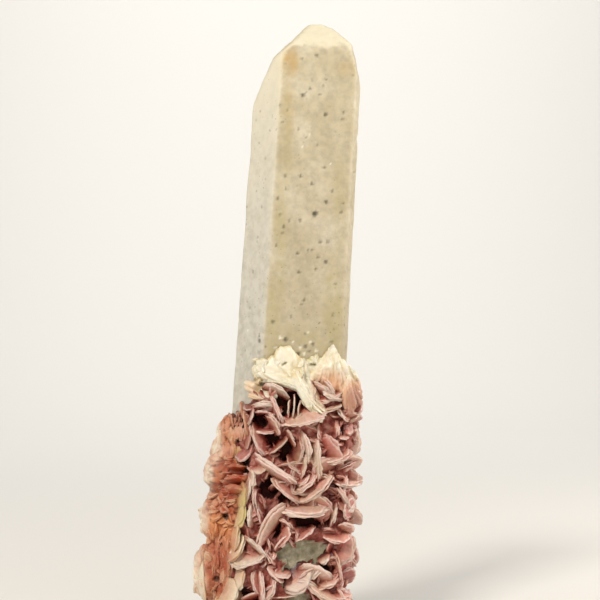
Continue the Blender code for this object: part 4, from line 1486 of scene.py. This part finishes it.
points = points_of(rust)
pit = pits(points) * (points[:, 1] < PIT_BACK)
away, _ = outside_prism(points)
sunk = pit * np.clip(away - PIT_FLOOR, 0, PIT_DEPTH)
set_points(rust, points - normals_of(rust) * sunk[:, None])
store(rust, "height_off_prism", np.clip(away / DEEP, 0, 1))
# The material paints shade into these furrows
store(rust, "furrow", creases(points, FOLDED_ZONES))
stain(rust)
draw = random.Random(SEED + 1)
bpy.context.view_layer.update()
stained_plates = []
for x, height, size, roll, face, tone, leaves in RUST_BLADES:
    spot, _ = spot_from_front(rust, x, height)
    if spot:
        axes = blade_axes(0, roll, face)
        place = Vector((x, spot.y - RUST_BLADE_RISE, height)) - axes[1] * RUST_BLADE_WIDTH
        stained_plates += book(place, axes, size, RUST_BLADE_WIDTH / size, tone, draw, leaves)
for row in STAINED_RIBS:
    stained_plates += wall(*row, draw)
stained_blades = plate_piece("iron_stained_blades", stained_plates)
stain(stained_blades)

# %% [markdown]
# ## Sheaves of small stained plates
# Close up, the stained crust is full of small plates that lie like the pages of wet paper: upright near the
# top, level in the middle, swirling below. Each sheaf has a middle, a size and a main direction. Its plates
# are drawn at random, and a ray shot from the front finds where each one meets the lobes. On the side and
# the back, out of the photograph's sight, they stand roughly upright.

# %% Stained sheaves
# x, height, half width, half height, roll, spread of the roll, number of blades
SHEAVES = [
    (-9.0, 55.0, 2.0, 3.5, 80, 20, 16), (-9.0, 49.0, 2.2, 3.5, 95, 16, 16),
    (-9.6, 43.0, 2.6, 3.6, -6, 14, 26), (-10.6, 38.0, 3.0, 3.0, 24, 30, 20),
    (-12.8, 31.8, 2.6, 3.0, 60, 90, 20), (-13.4, 22.6, 2.4, 4.6, 92, 12, 24),
    (-13.4, 15.4, 2.6, 2.6, 70, 50, 14), (-11.6, 5.0, 4.0, 4.0, 60, 60, 14),
]
SHEAF_SIZE = (0.9, 2.0)
SHEAF_WIDTH = (0.5, 0.8)
SHEAF_FACE = (10, 50)
SHEAF_TONE = (0.1, 0.8)
SHEAF_OUT = (-0.9, 0.0)  # how far a plate's middle lies outside the lobes
FRONT_TURN = (-50, 20)  # the azimuths that a plate of the front may face
STAINED_SIDE_BLADES = 60
STAINED_SIDE_SPAN = (246, 300)
STAINED_SIDE_HEIGHTS = (1.5, 54)
STAINED_SIDE_ROLL = (40, 140)


def stained_book(spot, azimuth, roll, draw):
    """A small blade of two plates that stands on the stained lobes."""
    place = spot + heading(azimuth) * draw.uniform(*SHEAF_OUT)
    axes = blade_axes(azimuth, roll, draw.uniform(*SHEAF_FACE))
    size = draw.uniform(*SHEAF_SIZE)
    width = draw.uniform(*SHEAF_WIDTH)
    return book(place, axes, size, width, draw.uniform(*SHEAF_TONE), draw, leaves=2, segments=20)


bpy.context.view_layer.update()
sheaf_plates = []
for x, height, half_width, half_height, roll, spread, count in SHEAVES:
    for _ in range(count):
        across = x + half_width * shaken(draw, 1)
        spot, azimuth = spot_from_front(rust, across, height + half_height * shaken(draw, 1))
        if spot:
            turned = roll + shaken(draw, spread)
            sheaf_plates += stained_book(spot, held(azimuth, *FRONT_TURN), turned, draw)
for _ in range(STAINED_SIDE_BLADES):
    azimuth = draw.uniform(*STAINED_SIDE_SPAN)
    height = draw.uniform(*STAINED_SIDE_HEIGHTS)
    spot, azimuth = spot_on(rust, axis_at(height) + heading(azimuth) * FAR, -heading(azimuth))
    if spot:
        sheaf_plates += stained_book(spot, azimuth, draw.uniform(*STAINED_SIDE_ROLL), draw)
sheaves = plate_piece("iron_stained_sheaves", sheaf_plates)
stain(sheaves)

# %% [markdown]
# ## The cream fan
# Where the crust ends on the front of the prism, its last blades kept a clean cream colour. They grew so
# close that they fused into soft folds that spread like a fan. Each fold is one long rounded form between
# two places. A voxel remesh melts them into one skin, and furrows that spread from a middle below or above
# it give the fan its lines, sunk and darkened with painted shade. A few small gaps between the folds are
# sunk and painted dark as shade. Long plates lie on top, and its right and left ends have a peach tint.

# %% Fan of cream folds
# Folds: x and height of each end, half width, how far out the middle line lies
FAN_FOLDS = [
    (-3.9, 66.5, 2.1, 72.0, 2.2, 0.6), (0.9, 72.0, 5.6, 66.5, 2.0, 0.9),
    (3.4, 71.8, 7.1, 65.0, 1.8, 0.9), (5.6, 70.2, 8.9, 66.5, 1.5, 0.7),
    (-0.4, 68.5, 5.6, 66.0, 2.0, 1.4), (-3.9, 66.8, 8.1, 63.2, 1.2, 3),
    (3.1, 67.0, 10.4, 56.0, 1.2, 3.6), (4.6, 67.5, 9.6, 59.5, 1.2, 3.2),
    (6.1, 66.5, 10.1, 60.5, 1.2, 2.6), (9.6, 70.5, 8.9, 64.5, 1.5, 0.8),
    (13.4, 73.0, 9.9, 65.0, 1.5, 1.4), (13.6, 72.8, 11.4, 63.0, 1.2, 2.2),
    (13.9, 72.5, 13.4, 62.5, 1.2, 2.6), (14.4, 72.0, 15.9, 62.5, 1.5, 2.8),
    (14.6, 71.0, 18.6, 64.0, 1.5, 2.4), (16.6, 68.5, 19.9, 62.0, 1.8, 2.6),
    (18.0, 65.0, 19.0, 59.6, 1.6, 3.2), (18.8, 66.4, 19.8, 60.0, 1.7, 3.4),
    (17.2, 63.0, 18.0, 58.6, 1.7, 4.0), (19.8, 62.0, 20.2, 57.4, 1.4, 4.0),
    (-6.8, 64.0, -1.4, 61.8, 1.8, 1.6), (-6.4, 61.6, -2.4, 61.0, 1.0, 2.6),
]
FOLD_RISE = 1.3  # half the thickness of a fold
FAN_VOXEL = 0.3
# Small gaps between the folds, sunk and painted dark as shade: x, height, half width, half height, strength
FAN_GAPS = [
    (1.6, 69.3, 0.5, 0.3, 0.9), (2.1, 69.7, 0.4, 0.3, 0.9), (6.8, 66.4, 0.4, 0.6, 1.0),
    (7.2, 65.4, 0.4, 0.5, 1.0), (8.7, 69.2, 1.0, 0.35, 0.9), (-4.2, 63.6, 1.6, 1.2, 0.6),
    (12.4, 61.4, 0.8, 1.6, 0.9), (-5.4, 65.6, 0.8, 0.5, 0.8),
]
FAN_GAP_DEPTH = 0.9
# Peach tint: x, height, half width, half height, strength
PEACH_PATCHES = [
    (13.0, 63.4, 4.5, 4.6, 0.5), (19.0, 59.6, 3.4, 5.4, 1.0), (-5.6, 62.6, 3.0, 3.4, 0.3)
]
FAN_WAVES = ((2.6, 0.3), (0.9, 0.12))
# Lines that run out from the middle of each half of the fan: its x and height, and how many lines to a radian
FAN_MIDDLES = {"left": (9.0, 56.0, 9.0), "right": (13.8, 78.0, 16.0)}
FAN_PARTING = 9.4  # x between the two halves
FAN_LINE_DEPTH = 0.5
FAN_LINE_STRETCH = (7, 9)  # how far a line runs before it wanders, outwards and in depth
FAN_LINE_SHARPNESS = 4
# How much the furrows' tone is darkened, as painted shade
FAN_LINE_SHADE = 0.8
FULL_BODY = 2.0  # as far inside a rim as a fold counts, so that it has no pale rim
# Long plates: x, height, half length, roll, face, tone, plates, how far out
FAN_BLADES = [
    (2.2, 65.0, 6.2, -16, -14, 0.95, 3, 4.4),
    (6.8, 61.8, 7.0, -56, 12, 0.95, 4, 4.8),
    (7.9, 62.4, 5.6, -60, 14, 1.0, 3, 4.2),
    (5.6, 63.4, 5.4, -50, 10, 0.95, 3, 4.4),
    (9.4, 61.0, 3.6, -66, 16, 0.9, 3, 3.8),
    (0.8, 70.4, 2.4, 38, 20, 1.0, 2, 1.8),
    (4.6, 70.4, 2.2, 100, 24, 1.0, 2, 1.8),
    (7.6, 69.0, 2.0, -40, 20, 1.0, 2, 1.6),
    (12.2, 69.4, 4.2, 66, 24, 0.95, 2, 2.4),
    (14.6, 68.0, 4.6, 100, 22, 0.9, 2, 3.0),
    (16.2, 67.4, 3.8, 122, 24, 0.85, 2, 3.2),
]
SMALL_FAN_BLADES = 44
SMALL_FAN_SPREAD = (-5.0, 10.0)
SMALL_FAN_HEIGHTS = (65.0, 70.5)
SMALL_FAN_OUT = (0.6, 1.6)
SMALL_FAN_FACE = (35, 75)
SMALL_FAN_SIZE = (0.6, 1.5)
SMALL_FAN_WIDTH = 0.8
SMALL_FAN_TONE = (0.85, 1)


def fold(bm, from_x, from_height, to_x, to_height, half_width, out):
    """Adds one long rounded fold on the front of the prism."""
    start = front_point(from_x, from_height, out)
    end = front_point(to_x, to_height, out)
    along = (end - start).normalized()
    across = along.cross(heading(0)).normalized()
    frame_of_fold = Matrix((along, across, across.cross(along))).transposed().to_4x4()
    sizes = Matrix.Diagonal(((end - start).length / 2 + half_width, half_width, FOLD_RISE)).to_4x4()
    middle = Matrix.Translation((start + end) / 2)
    bmesh.ops.create_icosphere(bm, subdivisions=4, radius=1, matrix=middle @ frame_of_fold @ sizes)


def fan_lines(points):
    """Furrows that spread like a fan, from 0 to 1."""
    furrow = np.zeros(len(points))
    for side, (middle_x, middle_height, count) in FAN_MIDDLES.items():
        x, height = points[:, 0] - middle_x, points[:, 2] - middle_height
        angle = np.arctan2(x, height)
        outwards, deep = FAN_LINE_STRETCH
        places = np.stack([angle * count, np.hypot(x, height) / outwards, points[:, 1] / deep], axis=1)
        waves = np.abs([noise.noise(place) for place in places.tolist()])
        sharp = np.clip(1 - waves * FAN_LINE_SHARPNESS, 0, 1)
        in_half = points[:, 0] < FAN_PARTING if side == "left" else points[:, 0] >= FAN_PARTING
        furrow = np.where(in_half, sharp, furrow)
    return furrow


bm = bmesh.new()
for row in FAN_FOLDS:
    fold(bm, *row)
ledge = piece_from("cream_fan_folds", bm)
remesh(ledge, FAN_VOXEL)
roughen(ledge, FAN_WAVES)
points = points_of(ledge)
sunk = fan_lines(points) * FAN_LINE_DEPTH + patches(points, FAN_GAPS) * FAN_GAP_DEPTH
set_points(ledge, points - normals_of(ledge) * sunk[:, None])
cut_prism_away(ledge)
drop_crumbs(ledge)
points = points_of(ledge)
store(ledge, "height_off_prism", np.clip(outside_prism(points)[0] / DEEP, 0, 1))
# Painted shade: the tone is darker in the furrows
store(ledge, "tone", 1 - FAN_LINE_SHADE * fan_lines(points))
store(ledge, "inside_rim", np.full(len(points), FULL_BODY))
draw = random.Random(SEED + 2)
fan_plates = []
for row in FAN_BLADES:
    fan_plates += wall(*row, draw, segments=34)
for _ in range(SMALL_FAN_BLADES):
    x = draw.uniform(*SMALL_FAN_SPREAD)
    height = draw.uniform(*SMALL_FAN_HEIGHTS)
    place = front_point(x, height, draw.uniform(*SMALL_FAN_OUT))
    axes = blade_axes(0, draw.uniform(*ANY_ROLL), draw.uniform(*SMALL_FAN_FACE))
    size = draw.uniform(*SMALL_FAN_SIZE)
    tone = draw.uniform(*SMALL_FAN_TONE)
    fan_plates += book(place, axes, size, SMALL_FAN_WIDTH, tone, draw, leaves=2, segments=22)
fan_blades = plate_piece("cream_fan_blades", fan_plates)
for piece in (ledge, fan_blades):
    store(piece, "peach", patches(points_of(piece), PEACH_PATCHES))
    # The material paints the small gaps dark, as shade
    store(piece, "pit", patches(points_of(piece), FAN_GAPS))

# %% [markdown]
# ## Material: pearly blades
# Tabular crystals of this kind have a pearly face, because light comes back from the gaps between the
# plates, and a paler rim, because the rim is the thinnest and cleanest part. The tone stored on each plate
# picks its colour from one ramp. Towards the prism the colour sinks to maroon and nearly black, painted
# shade for the deep gaps between the blades. A dull veil lies over it in patches, and growth lines a third
# of a millimetre apart run round inside the rim as bump. All three kinds of blade share this recipe, with
# colours of their own. Two of them lay more colours over it: stains with painted shade in their pits, or
# the fan's peach tint with painted shade in its small gaps.

# %% Pearly blades
GROWTH_LINE = 0.36
VEIL_SIZE = 7.0  # millimetres from one veiled patch to the next
VEIL_SHARE = 0.5
# Streaks: lumps to a millimetre along the rim and down to the foot, and a jump for each tone
STREAK_SCALE = (1.6, 0.4, 40)
RELIEF_DEPTH = 0.2
PEARL_IOR = 1.63
# Each material's tones, from maroon to cream, and the painted shade that its colour is multiplied by towards
# the prism
ROSE_STOPS = [
    (0.0, "#8E3F38"), (0.2, "#B9695F"), (0.4, "#D08C80"),
    (0.58, "#E0A898"), (0.8, "#E8C8BA"), (1.0, "#F4E8D0"),
]
ROSE_PAINTED_SHADE = [(0.08, "#1E0504"), (0.28, "#8C3E35"), (0.48, "#DFB6AC"), (0.66, "#FFFFFF")]
CREAM_STOPS = [(0.0, "#C9B27C"), (0.5, "#F3E8C8"), (1.0, "#FFFAEA")]
CREAM_PAINTED_SHADE = [(0.0, "#C4B27E"), (0.14, "#F4ECD0"), (0.3, "#FFFFFF")]


def streaks(tree):
    """Noise drawn out from each blade's foot to its rim, in lines about 0.6 mm apart."""
    inputs = {0: stored(tree, "along"), 1: stored(tree, "sideways"), 2: stored(tree, "tone")}
    own = add(tree, "ShaderNodeCombineXYZ", inputs).outputs[0]
    settings = {"Vector": scaled(tree, own, STREAK_SCALE), "Scale": 1.0, "Detail": 3.0}
    return add(tree, "ShaderNodeTexNoise", settings).outputs["Fac"]


def blade_colour(tree, place, stops, rim_colour, shade_stops, veil):
    """The colour of a blade from its tone, its paler rim, painted shade that darkens its foot, and a veil in
    patches.
    """
    wander = clouded(tree, place, 2.6, 3.0, [(0.25, 0.0), (0.75, 0.24)])
    tone = sums(tree, "SUBTRACT", sums(tree, "ADD", stored(tree, "tone"), wander), 0.12)
    colour = ramp(tree, tone, stops)
    colour = blend(tree, 0.5, colour, ramp(tree, streaks(tree), [(0.3, 0.55), (0.62, 1.0)]), "MULTIPLY")
    torn = clouded(tree, place, 0.8, 3.0, [(0.2, 0.0), (0.8, 0.5)])
    rim = ramp(tree, sums(tree, "ADD", stored(tree, "inside_rim"), torn), [(0.2, 0.8), (0.8, 0.0)])
    colour = blend(tree, rim, colour, rim_colour)
    veiled = clouded(tree, place, VEIL_SIZE, 2.0, [(0.45, 0.0), (0.64, VEIL_SHARE)])
    colour = blend(tree, veiled, colour, veil)
    # Painted shade: the colour is multiplied darker towards the prism, where the gaps between the blades are
    # deep
    foot = ramp(tree, stored(tree, "height_off_prism"), shade_stops)
    return blend(tree, 1.0, colour, foot, "MULTIPLY")


def growth_lines(tree, place):
    """Lines round the inside of the rim, with a fine grain over them, as a height between 0 and 1."""
    angle = maths(tree, "MULTIPLY", stored(tree, "inside_rim"), 2 * math.pi / GROWTH_LINE)
    wave = maths(tree, "SINE", maths(tree, "ADD", angle, clouds(tree, place, 1.2)))
    height = add(tree, "ShaderNodeMapRange", {0: wave, 1: -1.0, 2: 1.0, 3: 0.2, 4: 0.6}).outputs[0]
    return sums(tree, "MULTIPLY", height, clouded(tree, place, 0.5, 4.0, [(0.3, 0.55), (0.7, 1.0)]))


def pearly(name, stops, rim_colour, shade_stops, veil, lay_over=None):
    """A material of thin pearly plates. lay_over is a function that lays more colours over theirs."""
    made, tree, shader = new_material(name)
    place = millimetres(tree)
    colour = blade_colour(tree, place, stops, rim_colour, shade_stops, veil)
    if lay_over:
        colour = lay_over(tree, place, colour)
    tree.links.new(colour, shader.inputs["Base Color"])
    set_finish(shader, 0.36, PEARL_IOR, 0.18, (1.0, 0.5, 0.4), 0.8)
    relief(tree, shader, sums(tree, "MULTIPLY", growth_lines(tree, place), streaks(tree)), RELIEF_DEPTH)
    return made


def lay_peach(tree, _, colour):
    """Lays the fan's peach tint and the painted shade of its small gaps over a colour."""
    tint = ramp(tree, stored(tree, "peach"), [(0.0, "#FFFFFF"), (0.5, "#EDC4B2"), (1.0, "#CB9C96")])
    tinted = blend(tree, 1.0, colour, tint, "MULTIPLY")
    # Painted shade in the small gaps
    return blend(tree, sums(tree, "MULTIPLY", stored(tree, "pit"), 0.85), tinted, "#6A5E36")


rose = pearly("pearly_rose_blades", ROSE_STOPS, "#F3DCD1", ROSE_PAINTED_SHADE, "#C4AC8E")
cream = pearly("pearly_cream_blades", CREAM_STOPS, "#FBF2DC", CREAM_PAINTED_SHADE, "#F4E6C2", lay_peach)
print("growth lines, mm apart:", GROWTH_LINE)

# %% [markdown]
# ## Materials: iron-stained crust and dark floor
# Iron oxide is matt and earthy, so the stained parts are rougher than the clean blades. The base is a
# reddish tan, and the stored stains lay tan, rust, greenish yellow, peach and cream over it. Painted shade
# darkens its furrows, its pits and its parts near the prism. The floor of the crust is dark rose, painted
# nearly black red with some olive under the hollows as shade, and has a fine grain of tiny crystals.

# %% Stained crust and dark floor
STAIN_COLOURS = {
    "tan": "#E59A62",
    "rust": "#B0431E",
    "green": "#D2C47C",
    "peach": "#E0AD92",
    "cream": "#F5E8D2",
}
STAINED_STOPS = [(0.0, "#8A2E17"), (0.4, "#C06C48"), (0.7, "#D8A07C"), (1.0, "#E8D2AC")]
STAINED_PAINTED_SHADE = [(0.1, "#4A1E10"), (0.42, "#C08E76"), (0.7, "#FFFFFF")]
EARTH_IOR = 1.6
EARTH_DEPTH = 0.3


def lay_stains(tree, place, colour):
    """Lays the stored stains over a colour, each with an edge torn by noise, and painted shade in the pits.
    """
    for offset, (name, stain_colour) in enumerate(STAIN_COLOURS.items()):
        torn = clouded(tree, place, 1.6 + 0.4 * offset, 4.0, [(0.3, 0.35), (0.62, 1.0)])
        colour = blend(tree, sums(tree, "MULTIPLY", stored(tree, name), torn), colour, stain_colour)
    # Painted shade in the pits
    edge = clouded(tree, place, 1.0, 3.0, [(0.3, 0.4), (0.6, 1.0)])
    edge = sums(tree, "MULTIPLY", stored(tree, "pit"), edge)
    return blend(tree, ramp(tree, edge, [(0.3, 0.0), (0.8, 0.85)]), colour, "#3A3020")


stained, tree, shader = new_material("iron_stained_crust")
place = millimetres(tree)
earth = clouded(tree, place, 3.4, 5.0, [(0.3, "#A4492A"), (0.5, "#C8805A"), (0.7, "#DFAC8C")])
earth = lay_stains(tree, place, earth)
# Painted shade: the furrows are darkened
earth = blend(tree, sums(tree, "MULTIPLY", stored(tree, "furrow"), 0.85), earth, "#4A1D0E")
# Painted shade: darker towards the prism
dark = ramp(tree, stored(tree, "height_off_prism"), [(0.0, "#4A2113"), (0.35, "#C9A890"), (0.5, "#FFFFFF")])
tree.links.new(blend(tree, 1.0, earth, dark, "MULTIPLY"), shader.inputs["Base Color"])
set_finish(shader, 0.58, EARTH_IOR, 0.15, (1.0, 0.6, 0.4), 1.0)
relief(tree, shader, clouds(tree, place, 0.7, 5.0), EARTH_DEPTH)

stained_colours = (STAINED_STOPS, "#E6C7A2", STAINED_PAINTED_SHADE, "#D9A684")
stained_blade = pearly("iron_stained_blades", *stained_colours, lay_stains)

matrix, tree, shader = new_material("drusy_floor_and_painted_shade")
place = millimetres(tree)
# Painted shade: under the hollows the floor is nearly black red and olive; elsewhere it keeps its own dark
# rose
HOLLOW_SHADE_STOPS = [(0.3, "#120201"), (0.5, "#280704"), (0.68, "#201408"), (0.82, "#45140C")]
floor_and_shade = clouded(tree, place, 2.2, 4.0, HOLLOW_SHADE_STOPS)
mass = clouded(tree, place, 1.6, 4.0, [(0.3, "#5E241F"), (0.5, "#95544A"), (0.7, "#C08D80")])
floor_and_shade = blend(tree, stored(tree, "hollow"), mass, floor_and_shade)
film = clouded(tree, place, 1.8, 5.0, [(0.3, "#7F7A62"), (0.5, "#A8A28A"), (0.7, "#CFC9B6")])
floor_and_shade = blend(tree, stored(tree, "gap"), floor_and_shade, film)
tree.links.new(floor_and_shade, shader.inputs["Base Color"])
shader.inputs["Roughness"].default_value = 0.85
shader.inputs["IOR"].default_value = 1.55
shader.inputs["Specular IOR Level"].default_value = 0.1
relief(tree, shader, clouds(tree, place, 0.6, 4.0), EARTH_DEPTH)
print("materials:", [item.name for item in bpy.data.materials if item.users])

# %% [markdown]
# ## Hand over
# Every piece now goes from millimetres to metres, into the frame of the solids, and may not leave their
# box. It rides on the one body, hides the solid whose place it takes, and gets its material.

# %% Hand the pieces over
BOX_MARGIN = 0.02


def hand_over(piece, material, node):
    """Places a piece in the frame of the solids, gives it its material and hides the solid that it replaces.
    """
    points = (points_of(piece) - np.array(PLAN_MIDDLE)) * MM
    low, high = (np.array(corner) for corner in solid_box)
    low[:2] += BOX_MARGIN * MM
    high -= BOX_MARGIN * MM
    set_points(piece, np.clip(points, low, high))
    piece.data.shade_smooth()
    piece.data.materials.clear()
    piece.data.materials.append(material)
    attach(piece, "root")
    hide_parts(node)


hand_over(prism, quartz, "quartz_crystal")
for piece in (front_blades, follower_blades, small_front, right_blades, back_blades, small_sides):
    hand_over(piece, rose, "pink_blade_crust")
hand_over(crust_floor, matrix, "pink_blade_crust")
hand_over(rust, stained, "rust_stained_crust")
for piece in (stained_blades, sheaves):
    hand_over(piece, stained_blade, "rust_stained_crust")
for piece in (ledge, fan_blades):
    hand_over(piece, cream, "cream_blade_fan")
